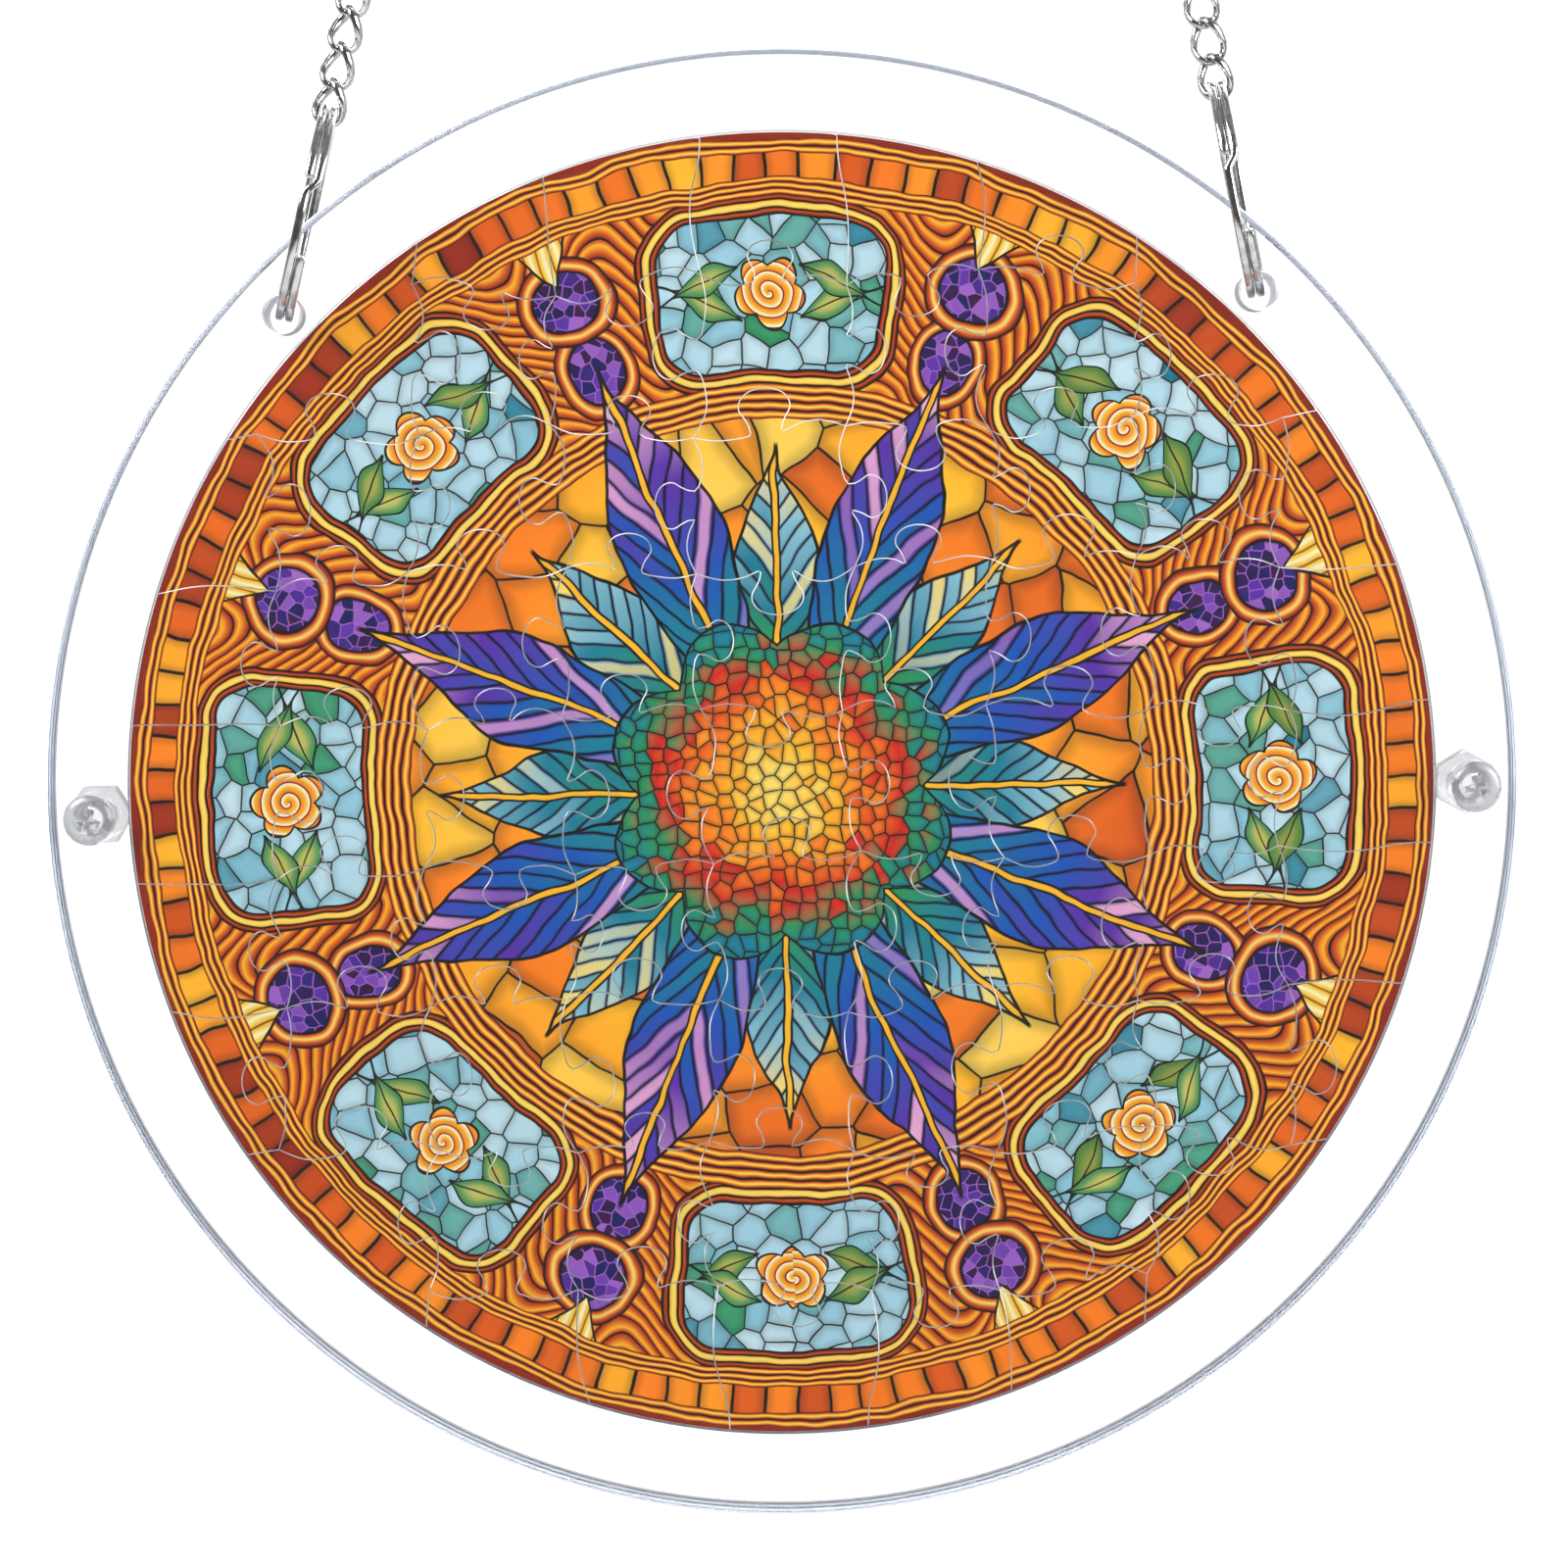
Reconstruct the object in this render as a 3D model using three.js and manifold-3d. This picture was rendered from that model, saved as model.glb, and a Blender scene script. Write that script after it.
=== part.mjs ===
import * as THREE from 'three';
import { mergeVertices } from 'three/addons/utils/BufferGeometryUtils.js';
import Module from 'manifold-3d';

// Puzzle suncatcher: a printed jigsaw shut between clear plates and hung on two chains.
// Millimetres, +Z up, front face towards -Y. The origin is where a hook bears in the hanging ring.

// Plates and puzzle
const PUZZLE_DIAMETER = 178;
const PUZZLE_CLEARANCE = 0.25; // all round the puzzle, in the spacer's opening
const PUZZLE_PLAY = 0.1; // in front of the puzzle and behind it
const RIM_WIDTH = 10.75; // clear border, from the opening to the outer edge
const SHEET_THICKNESS = 3; // front and back plate alike
const SPACER_THICKNESS = 3;

// Split rings, and the holes that they hang from
const RING_DIAMETER = 30;
const RING_WIRE_DEPTH = 1.6; // across the ring's plane, outside to inside
const RING_WIRE_WIDTH = 1.2; // along the ring's axis, one turn
const RING_TURN_GAP = 0.1;
const RING_YAW = 7; // degrees, the rings' far sides turn outwards
const RING_CRANK_ANGLE = 14; // degrees above the ring's foremost point
const RING_OPEN_STEPS = 3; // steps from the crank down to the wire's lower end
const HOLE_CLEARANCE = 1.25; // beside the ring, in the hole
const HOLE_ANGLE = 45; // degrees from the top of the disc
const HOLE_INWARD = 1.3; // from the middle of the rim towards the puzzle

// Screws and nuts
const SCREW_DIAMETER = 4;
const SCREW_CLEARANCE = 0.25; // round the shank, in the plates and in the nut
const SCREW_ANGLE = 91; // degrees from the top of the disc
const SCREW_INWARD = 0.6; // from the middle of the rim towards the puzzle
const SCREW_TIP = 1.2; // what stands out of the nut
const HEAD_OVERHANG = 1.5; // head beyond the shank
const HEAD_HEIGHT = 2.6;
const HEAD_DOME_HEIGHT = 1.2; // of that, the part that narrows
const HEAD_FACE_SHARE = 0.7; // the head's flat front compared with its widest
const SCREW_CHAMFER = 0.5; // round the tip
const RECESS_LENGTH = 3.8;
const RECESS_WIDTH = 0.9;
const RECESS_DEPTH = 1.4;
const NUT_WALL = 1.55; // from the bore to a flat
const NUT_HEIGHT = 3.2;
const LEFT_SCREW_TURN = 20; // degrees
const RIGHT_SCREW_TURN = -10;
const LEFT_NUT_TURN = 0;
const RIGHT_NUT_TURN = 30;

// Chains
const LINK_WIRE = 1;
const LINK_PITCH = 5;
const LINK_CLEARANCE = 0.3; // on each side of the split ring, in the link
const LINK_FUSE = 0.1; // how deep two links sink into each other where they touch
const LINK_TWIST = -90; // degrees from a link's lower end to its upper end
const LINK_END_SHARE = 0.86; // a link's end compared with its middle, in width
const LEFT_LINKS = 57;
const RIGHT_LINKS = 56;
const LEFT_ROLL = -25; // degrees that the chain is turned about its own line
const RIGHT_ROLL = -18;

// Hanging ring
const HANGING_RING_DIAMETER = 20;
const HANGING_RING_CLEARANCE = 0.75; // on each side of the ring's wire, in the link

// Gap between two metal pieces, or metal and acrylic, where one hangs on the other
const SEAT_GAP = 0.3;

// Sides of round shapes
const RIM_SIDES = 60;
const BORE_SIDES = 10;
const SCREW_SIDES = 12;
const RING_STEPS_PER_TURN = 16;
const HANGING_RING_SIDES = 20;
const HANGING_RING_SECTION_SIDES = 6;
const LINK_SECTION_SIDES = 4;

// Worked out from the sizes above
const STACK_THICKNESS = 2 * SHEET_THICKNESS + SPACER_THICKNESS;
const PUZZLE_THICKNESS = SPACER_THICKNESS - 2 * PUZZLE_PLAY;
const OPENING_RADIUS = PUZZLE_DIAMETER / 2 + PUZZLE_CLEARANCE;
const DISC_RADIUS = OPENING_RADIUS + RIM_WIDTH;
const RIM_MIDDLE = OPENING_RADIUS + RIM_WIDTH / 2;
const RING_WIDTH = 2 * RING_WIRE_WIDTH + RING_TURN_GAP;
const RING_INNER_RADIUS = RING_DIAMETER / 2 - RING_WIRE_DEPTH;
const HOLE_RADIUS = RING_WIDTH / 2 + HOLE_CLEARANCE;
const SHANK_RADIUS = SCREW_DIAMETER / 2;
const BORE_RADIUS = SHANK_RADIUS + SCREW_CLEARANCE;
const LINK_HALF_LENGTH = (LINK_PITCH + LINK_WIRE) / 2;
const LINK_HALF_WIDTH = (RING_WIDTH + LINK_WIRE) / 2 + LINK_CLEARANCE;
const LINK_SECTION_RADIUS = (LINK_WIRE + LINK_FUSE) / 2;
const HANGING_RING_WIRE = 2 * (LINK_HALF_WIDTH - LINK_SECTION_RADIUS - HANGING_RING_CLEARANCE);
const HANGING_RING_RADIUS = HANGING_RING_DIAMETER / 2 - HANGING_RING_WIRE;

const radians = THREE.MathUtils.degToRad;

const CLEAR_ACRYLIC = { color: 0xf2f6f8, roughness: 0.05, transparent: true, opacity: 0.35 };
const PRINTED_ACRYLIC = { color: 0xd98a35, roughness: 0.25 };
const NYLON = { color: 0xe6e9ea, roughness: 0.45 };
const NICKEL = { color: 0xc6c7cb, roughness: 0.15, metalness: 1 };

const wasm = await Module();
wasm.setup();

function piece(name, geometry, finish) {
  const mesh = new THREE.Mesh(geometry, new THREE.MeshStandardMaterial(finish));
  mesh.name = name;
  return mesh;
}

// Closed solid from a geometry, its shared corners merged
function toSolid(geometry) {
  const bare = geometry.clone();
  bare.deleteAttribute('normal');
  bare.deleteAttribute('uv');
  const merged = mergeVertices(bare);
  const vertProperties = new Float32Array(merged.attributes.position.array);
  const triVerts = new Uint32Array(merged.index.array);
  return new wasm.Manifold(new wasm.Mesh({ numProp: 3, vertProperties, triVerts }));
}

function toGeometry(solid) {
  const mesh = solid.getMesh();
  const geometry = new THREE.BufferGeometry();
  geometry.setAttribute('position', new THREE.BufferAttribute(mesh.vertProperties, 3));
  geometry.setIndex(new THREE.BufferAttribute(mesh.triVerts, 1));
  geometry.computeVertexNormals();
  return geometry;
}

function circlePoints(centre, radius, sides) {
  return Array.from({ length: sides }, (_, side) => {
    const angle = (side / sides) * 2 * Math.PI;
    return new THREE.Vector2(centre.x + radius * Math.cos(angle), centre.y + radius * Math.sin(angle));
  });
}

// Point of the disc's face at an angle from its top, to the right or, with side -1, to the left
function facePoint(radius, degreesFromTop, side) {
  const angle = radians(degreesFromTop);
  return new THREE.Vector2(side * radius * Math.sin(angle), radius * Math.cos(angle));
}

const holePlace = (side) => facePoint(RIM_MIDDLE - HOLE_INWARD, HOLE_ANGLE, side);
const screwPlace = (side) => facePoint(RIM_MIDDLE - SCREW_INWARD, SCREW_ANGLE, side);

// Flat sheet across Y, centred on its own thickness, with the outlines of its holes
function sheet(outline, holes, thickness) {
  const shape = new THREE.Shape(outline);
  shape.holes = holes.map((hole) => new THREE.Path(hole));
  const geometry = new THREE.ExtrudeGeometry(shape, { depth: thickness, bevelEnabled: false });
  geometry.rotateX(Math.PI / 2);
  geometry.translate(0, thickness / 2, 0);
  return geometry;
}

// Round plate with the two hanging holes and the two screw holes
function plate(thickness, moreHoles = []) {
  const centre = new THREE.Vector2();
  const bores = [-1, 1].flatMap((side) => [
    circlePoints(holePlace(side), HOLE_RADIUS, BORE_SIDES),
    circlePoints(screwPlace(side), BORE_RADIUS, BORE_SIDES),
  ]);
  return sheet(circlePoints(centre, DISC_RADIUS, RIM_SIDES), [...bores, ...moreHoles], thickness);
}

function spacerRing() {
  return plate(SPACER_THICKNESS, [circlePoints(new THREE.Vector2(), OPENING_RADIUS, RIM_SIDES)]);
}

function puzzle() {
  return sheet(circlePoints(new THREE.Vector2(), PUZZLE_DIAMETER / 2, RIM_SIDES), [], PUZZLE_THICKNESS);
}

// Pan-head screw along Y, its head's underside on the front face, with a cross cut into the head
function screw() {
  const under = -STACK_THICKNESS / 2;
  const front = under - HEAD_HEIGHT;
  const headRadius = SHANK_RADIUS + HEAD_OVERHANG;
  const end = STACK_THICKNESS / 2 + NUT_HEIGHT + SCREW_TIP;
  const profile = [
    [0, front],
    [HEAD_FACE_SHARE * headRadius, front],
    [headRadius, front + HEAD_DOME_HEIGHT],
    [headRadius, under],
    [SHANK_RADIUS, under],
    [SHANK_RADIUS, end - SCREW_CHAMFER],
    [SHANK_RADIUS - SCREW_CHAMFER, end],
    [0, end],
  ].map(([radius, y]) => new THREE.Vector2(radius, y));
  const blank = toSolid(new THREE.LatheGeometry(profile, SCREW_SIDES));
  const arms = [0, Math.PI / 2].map((turn) => {
    const arm = new THREE.BoxGeometry(RECESS_LENGTH, 2 * RECESS_DEPTH, RECESS_WIDTH);
    return toSolid(arm.translate(0, front, 0).rotateY(turn));
  });
  return toGeometry(blank.subtract(arms[0]).subtract(arms[1]));
}

function nut() {
  const centre = new THREE.Vector2();
  const cornerRadius = (BORE_RADIUS + NUT_WALL) / Math.cos(Math.PI / 6);
  const bore = circlePoints(centre, BORE_RADIUS, BORE_SIDES);
  return sheet(circlePoints(centre, cornerRadius, 6), [bore], NUT_HEIGHT);
}

// Nearly two turns of flat wire in the YZ plane. The wire's lower end stands on the right below the
// crank, which takes the wire over to the left turn, and its upper end lies just above the crank.
function splitRing() {
  const step = (2 * Math.PI) / RING_STEPS_PER_TURN;
  const stepsToCrank = RING_STEPS_PER_TURN - RING_OPEN_STEPS + 1;
  const steps = stepsToCrank + RING_STEPS_PER_TURN - 1;
  const wireRadius = (RING_DIAMETER - RING_WIRE_DEPTH) / 2;
  const halfShift = (RING_WIRE_WIDTH + RING_TURN_GAP) / 2;
  const geometry = new THREE.BoxGeometry(RING_WIRE_WIDTH, RING_WIRE_DEPTH, 1, 1, 1, steps);
  const position = geometry.attributes.position;
  for (let i = 0; i < position.count; i += 1) {
    const travelled = Math.round((position.getZ(i) + 0.5) * steps);
    const angle = radians(RING_CRANK_ANGLE) - (travelled - stepsToCrank) * step;
    const radius = wireRadius + position.getY(i);
    const turn = travelled < stepsToCrank ? 1 : -1;
    const x = position.getX(i) + turn * halfShift;
    position.setXYZ(i, x, -radius * Math.cos(angle), radius * Math.sin(angle));
  }
  return geometry;
}

// Outward direction at a corner of an outline, long enough to keep a wall's thickness round the corner
function mitre(before, corner, after) {
  const incoming = corner.clone().sub(before).normalize();
  const outgoing = after.clone().sub(corner).normalize();
  const outward = new THREE.Vector2(incoming.y + outgoing.y, -incoming.x - outgoing.x).normalize();
  return outward.divideScalar(outward.x * incoming.y - outward.y * incoming.x);
}

// One link round Z: a square wire carried round six corners, then twisted about Z
function linkGeometry() {
  const end = LINK_END_SHARE * LINK_HALF_WIDTH;
  const corners = [
    [LINK_HALF_WIDTH, 0],
    [end, LINK_HALF_LENGTH],
    [-end, LINK_HALF_LENGTH],
    [-LINK_HALF_WIDTH, 0],
    [-end, -LINK_HALF_LENGTH],
    [end, -LINK_HALF_LENGTH],
  ].map(([u, z]) => new THREE.Vector2(u, z));
  const count = corners.length;
  const geometry = new THREE.TorusGeometry(1, LINK_SECTION_RADIUS, LINK_SECTION_SIDES, count);
  const position = geometry.attributes.position;
  for (let i = 0; i < position.count; i += 1) {
    const at = i % (count + 1) % count;
    const sectionAngle = (Math.floor(i / (count + 1)) / LINK_SECTION_SIDES) * 2 * Math.PI;
    const outward = mitre(corners[(at + count - 1) % count], corners[at], corners[(at + 1) % count]);
    const loop = corners[at].clone().addScaledVector(outward, LINK_SECTION_RADIUS * Math.cos(sectionAngle));
    const aside = LINK_SECTION_RADIUS * Math.sin(sectionAngle);
    const twist = radians(LINK_TWIST) * (loop.y / (2 * LINK_HALF_LENGTH));
    const x = loop.x * Math.cos(twist) + aside * Math.sin(twist);
    const y = loop.x * Math.sin(twist) - aside * Math.cos(twist);
    position.setXYZ(i, x, y, loop.y);
  }
  return geometry;
}

// Straight curb chain up Z, its links joined where they touch. The lowest link is centred on z = 0.
function chain(links) {
  const link = toSolid(linkGeometry());
  let joined = link;
  for (let i = 1; i < links; i += 1) {
    joined = joined.add(link.translate(0, 0, i * LINK_PITCH));
  }
  return toGeometry(joined);
}

function hangingRing() {
  const wireRadius = HANGING_RING_WIRE / 2;
  const geometry = new THREE.TorusGeometry(
    HANGING_RING_RADIUS + wireRadius,
    wireRadius,
    HANGING_RING_SECTION_SIDES,
    HANGING_RING_SIDES,
  );
  return geometry.rotateX(Math.PI / 2);
}

// Heights along the straight line from a hanging hole's centre to the centre of the hanging ring.
// The split ring bears on the hole's two rims, which its yaw narrows, and the links follow.
function chainHeights(links) {
  const yaw = radians(RING_YAW);
  const halfStack = STACK_THICKNESS / 2;
  const wallRadius = HOLE_RADIUS * Math.cos(Math.PI / BORE_SIDES);
  const beside = RING_WIDTH / 2 + halfStack * Math.tan(yaw);
  const seat = Math.sqrt(wallRadius ** 2 - beside ** 2) - SEAT_GAP;
  const ring = seat + Math.sqrt(RING_INNER_RADIUS ** 2 - (halfStack / Math.cos(yaw)) ** 2);
  const linkReach = LINK_HALF_LENGTH - LINK_SECTION_RADIUS - SEAT_GAP;
  const chordRadius = RING_INNER_RADIUS * Math.cos(Math.PI / RING_STEPS_PER_TURN);
  const firstLink = ring + chordRadius + linkReach;
  const lastLink = firstLink + (links - 1) * LINK_PITCH;
  return { ring, firstLink, apex: lastLink + linkReach + HANGING_RING_RADIUS };
}

// The disc hangs with its centre straight below the hanging ring's centre. The two chain lines fix
// that centre on the disc's own axes, and its bearing there is the angle that the disc is turned.
function hang(left, right) {
  const hole = holePlace(1);
  const x = (left.apex ** 2 - right.apex ** 2) / (4 * hole.x);
  const z = hole.y + Math.sqrt(left.apex ** 2 - (hole.x + x) ** 2);
  return { turn: Math.atan2(x, z), drop: Math.hypot(x, z) };
}

// Plates, puzzle, screws and nuts about the centre of the disc
function disc() {
  const group = new THREE.Group();
  const layer = (SPACER_THICKNESS + SHEET_THICKNESS) / 2;
  const front = piece('front_plate', plate(SHEET_THICKNESS), CLEAR_ACRYLIC);
  front.position.y = -layer;
  const back = piece('back_plate', plate(SHEET_THICKNESS), CLEAR_ACRYLIC);
  back.position.y = layer;
  group.add(front, piece('spacer_ring', spacerRing(), CLEAR_ACRYLIC), back);
  group.add(piece('puzzle', puzzle(), PRINTED_ACRYLIC));
  const fixings = [
    { name: 'left', side: -1, screwTurn: LEFT_SCREW_TURN, nutTurn: LEFT_NUT_TURN },
    { name: 'right', side: 1, screwTurn: RIGHT_SCREW_TURN, nutTurn: RIGHT_NUT_TURN },
  ];
  for (const { name, side, screwTurn, nutTurn } of fixings) {
    const place = screwPlace(side);
    const screwMesh = piece(`screw_${name}`, screw(), NYLON);
    screwMesh.position.set(place.x, 0, place.y);
    screwMesh.rotation.y = radians(screwTurn);
    const nutMesh = piece(`nut_${name}`, nut(), NYLON);
    nutMesh.position.set(place.x, (STACK_THICKNESS + NUT_HEIGHT) / 2, place.y);
    nutMesh.rotation.y = radians(nutTurn);
    group.add(screwMesh, nutMesh);
  }
  return group;
}

// Split ring and chain on one side, from the hole up along the line to the hanging ring
function suspension(name, side, heights, links, roll) {
  const group = new THREE.Group();
  const ring = piece(`split_ring_${name}`, splitRing(), NICKEL);
  ring.position.z = heights.ring;
  ring.rotation.z = -side * radians(RING_YAW);
  const chainMesh = piece(`chain_${name}`, chain(links), NICKEL);
  chainMesh.position.z = heights.firstLink;
  chainMesh.rotation.z = radians(roll);
  group.add(ring, chainMesh);
  return group;
}

const suncatcher = new THREE.Group();
const apexZ = -HANGING_RING_RADIUS;
const ringMesh = piece('hanging_ring', hangingRing(), NICKEL);
ringMesh.position.z = apexZ;
suncatcher.add(ringMesh);

const left = chainHeights(LEFT_LINKS);
const right = chainHeights(RIGHT_LINKS);
const { turn, drop } = hang(left, right);

const discGroup = disc();
discGroup.position.z = apexZ - drop;
discGroup.rotation.y = -turn;
suncatcher.add(discGroup);

const sides = [
  { name: 'left', side: -1, heights: left, links: LEFT_LINKS, roll: LEFT_ROLL },
  { name: 'right', side: 1, heights: right, links: RIGHT_LINKS, roll: RIGHT_ROLL },
];
for (const { name, side, heights, links, roll } of sides) {
  const group = suspension(name, side, heights, links, roll);
  const hole = holePlace(side).rotateAround(new THREE.Vector2(), turn);
  group.position.set(hole.x, 0, apexZ - drop + hole.y);
  group.rotation.y = Math.atan2(-hole.x, drop - hole.y);
  suncatcher.add(group);
}

export default suncatcher;
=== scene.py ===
"""Looks of a hanging jigsaw suncatcher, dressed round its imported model.

Three clear acrylic layers hold a printed jigsaw. Two nylon screws close them, and two split rings
with curb chains carry the disc from one hanging ring. Shapes are worked out in millimetres and
written in metres. The frame has +Z up and the front face towards -Y.
"""

import logging
import math
from dataclasses import dataclass
from enum import Enum
from typing import Callable, Sequence

import bmesh
import bpy
import numpy as np
from bpy.types import Material, Mesh, Node, NodeSocket, Object
from mathutils import Matrix, Vector


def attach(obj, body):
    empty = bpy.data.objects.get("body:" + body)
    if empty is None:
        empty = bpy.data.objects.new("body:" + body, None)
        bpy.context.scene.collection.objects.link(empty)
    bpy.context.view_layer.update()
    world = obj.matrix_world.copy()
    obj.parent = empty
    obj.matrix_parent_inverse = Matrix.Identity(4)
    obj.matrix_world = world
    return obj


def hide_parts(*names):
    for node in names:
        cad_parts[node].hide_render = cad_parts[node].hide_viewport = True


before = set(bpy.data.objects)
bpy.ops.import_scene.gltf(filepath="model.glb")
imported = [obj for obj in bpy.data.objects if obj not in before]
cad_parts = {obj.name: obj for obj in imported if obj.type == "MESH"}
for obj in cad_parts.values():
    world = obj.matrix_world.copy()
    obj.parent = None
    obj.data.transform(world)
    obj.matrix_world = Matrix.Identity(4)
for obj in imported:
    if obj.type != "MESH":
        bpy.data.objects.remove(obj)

LOG = logging.getLogger("suncatcher")
MM = 0.001
TURN = 2.0 * math.pi
# Distance in metres below which two points are one
SAME = 2e-7
# Share of a normal along Y from which a face counts as square to Y
SQUARE = 0.999
# Turn in radians from which a point of an outline is a sharp corner
SHARP_TURN = 0.55
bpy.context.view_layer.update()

Colour = tuple[float, float, float]


# Patterns


class Glass(Enum):
    """Colours of the printed glass, as red, green and blue of the picture."""

    LEAD = (0.07, 0.02, 0.015)
    BRICK = (0.58, 0.15, 0.03)
    AMBER = (0.86, 0.36, 0.04)
    ORANGE = (0.98, 0.52, 0.08)
    GOLD = (1.0, 0.74, 0.16)
    STRAW = (1.0, 0.88, 0.42)
    CREAM = (1.0, 0.97, 0.82)
    ICE = (0.78, 0.90, 0.94)
    SKY = (0.54, 0.77, 0.84)
    TEAL = (0.02, 0.50, 0.60)
    OCEAN = (0.03, 0.34, 0.72)
    NAVY = (0.03, 0.09, 0.38)
    VIOLET = (0.36, 0.18, 0.66)
    ORCHID = (0.66, 0.42, 0.80)
    ROSE = (0.95, 0.70, 0.86)
    PLUM = (0.22, 0.04, 0.28)
    LEAF = (0.16, 0.58, 0.36)
    MOSS = (0.34, 0.47, 0.08)
    RED = (0.84, 0.10, 0.04)

    def linear(self) -> tuple[float, float, float, float]:
        """The colour in linear light, with alpha 1."""
        return (*(channel**2.2 for channel in self.value), 1.0)


def step(operation: str) -> Callable[..., "Field"]:
    """A method of fields that does one step of arithmetic.

    Args:
        operation: Name of the step.

    Returns:
        The method. Its terms are the field and what it is called with.
    """

    def method(self: "Field", *others: "Number") -> "Field":
        """The step's result."""
        return self.pattern.calc(operation, self, *others)

    return method


@dataclass(frozen=True, eq=False)
class Field:
    """A number worked out at every point of a surface, as an output of a material's nodes.

    Attributes:
        pattern: The pattern whose nodes give the number.
        socket: The output itself.
    """

    pattern: "Pattern"
    socket: NodeSocket

    __add__ = __radd__ = step("ADD")
    __sub__ = step("SUBTRACT")
    __mul__ = __rmul__ = step("MULTIPLY")
    __truediv__ = step("DIVIDE")
    __mod__ = step("FLOORED_MODULO")
    __abs__ = step("ABSOLUTE")
    floor = step("FLOOR")
    least = step("MINIMUM")
    most = step("MAXIMUM")
    sine = step("SINE")
    cosine = step("COSINE")
    sign = step("SIGN")
    root = step("SQRT")
    bearing = step("ARCTAN2")

    def __rsub__(self, other: float) -> "Field":
        """Difference from a plain number."""
        return self.pattern.calc("SUBTRACT", other, self)

    def over(self, edge: float, soft: float = 0.12) -> "Field":
        """Goes from 0 to 1 where this passes an edge, over the width soft."""
        return self.pattern.spread(self, edge - soft / 2, edge + soft / 2, 0.0, 1.0)

    def under(self, edge: float, soft: float = 0.12) -> "Field":
        """Goes from 1 to 0 where this passes an edge, over the width soft."""
        return self.pattern.spread(self, edge - soft / 2, edge + soft / 2, 1.0, 0.0)

    def within(self, low: float, high: float, soft: float = 0.12) -> "Field":
        """1 between two edges and 0 outside them."""
        return self.over(low, soft) * self.under(high, soft)


Number = Field | float
Paint = NodeSocket | Glass | tuple[float, float, float, float]


def hypotenuse(across: Field, along: Field) -> Field:
    """Length from two parts that are square to each other."""
    return (across * across + along * along).root()


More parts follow.
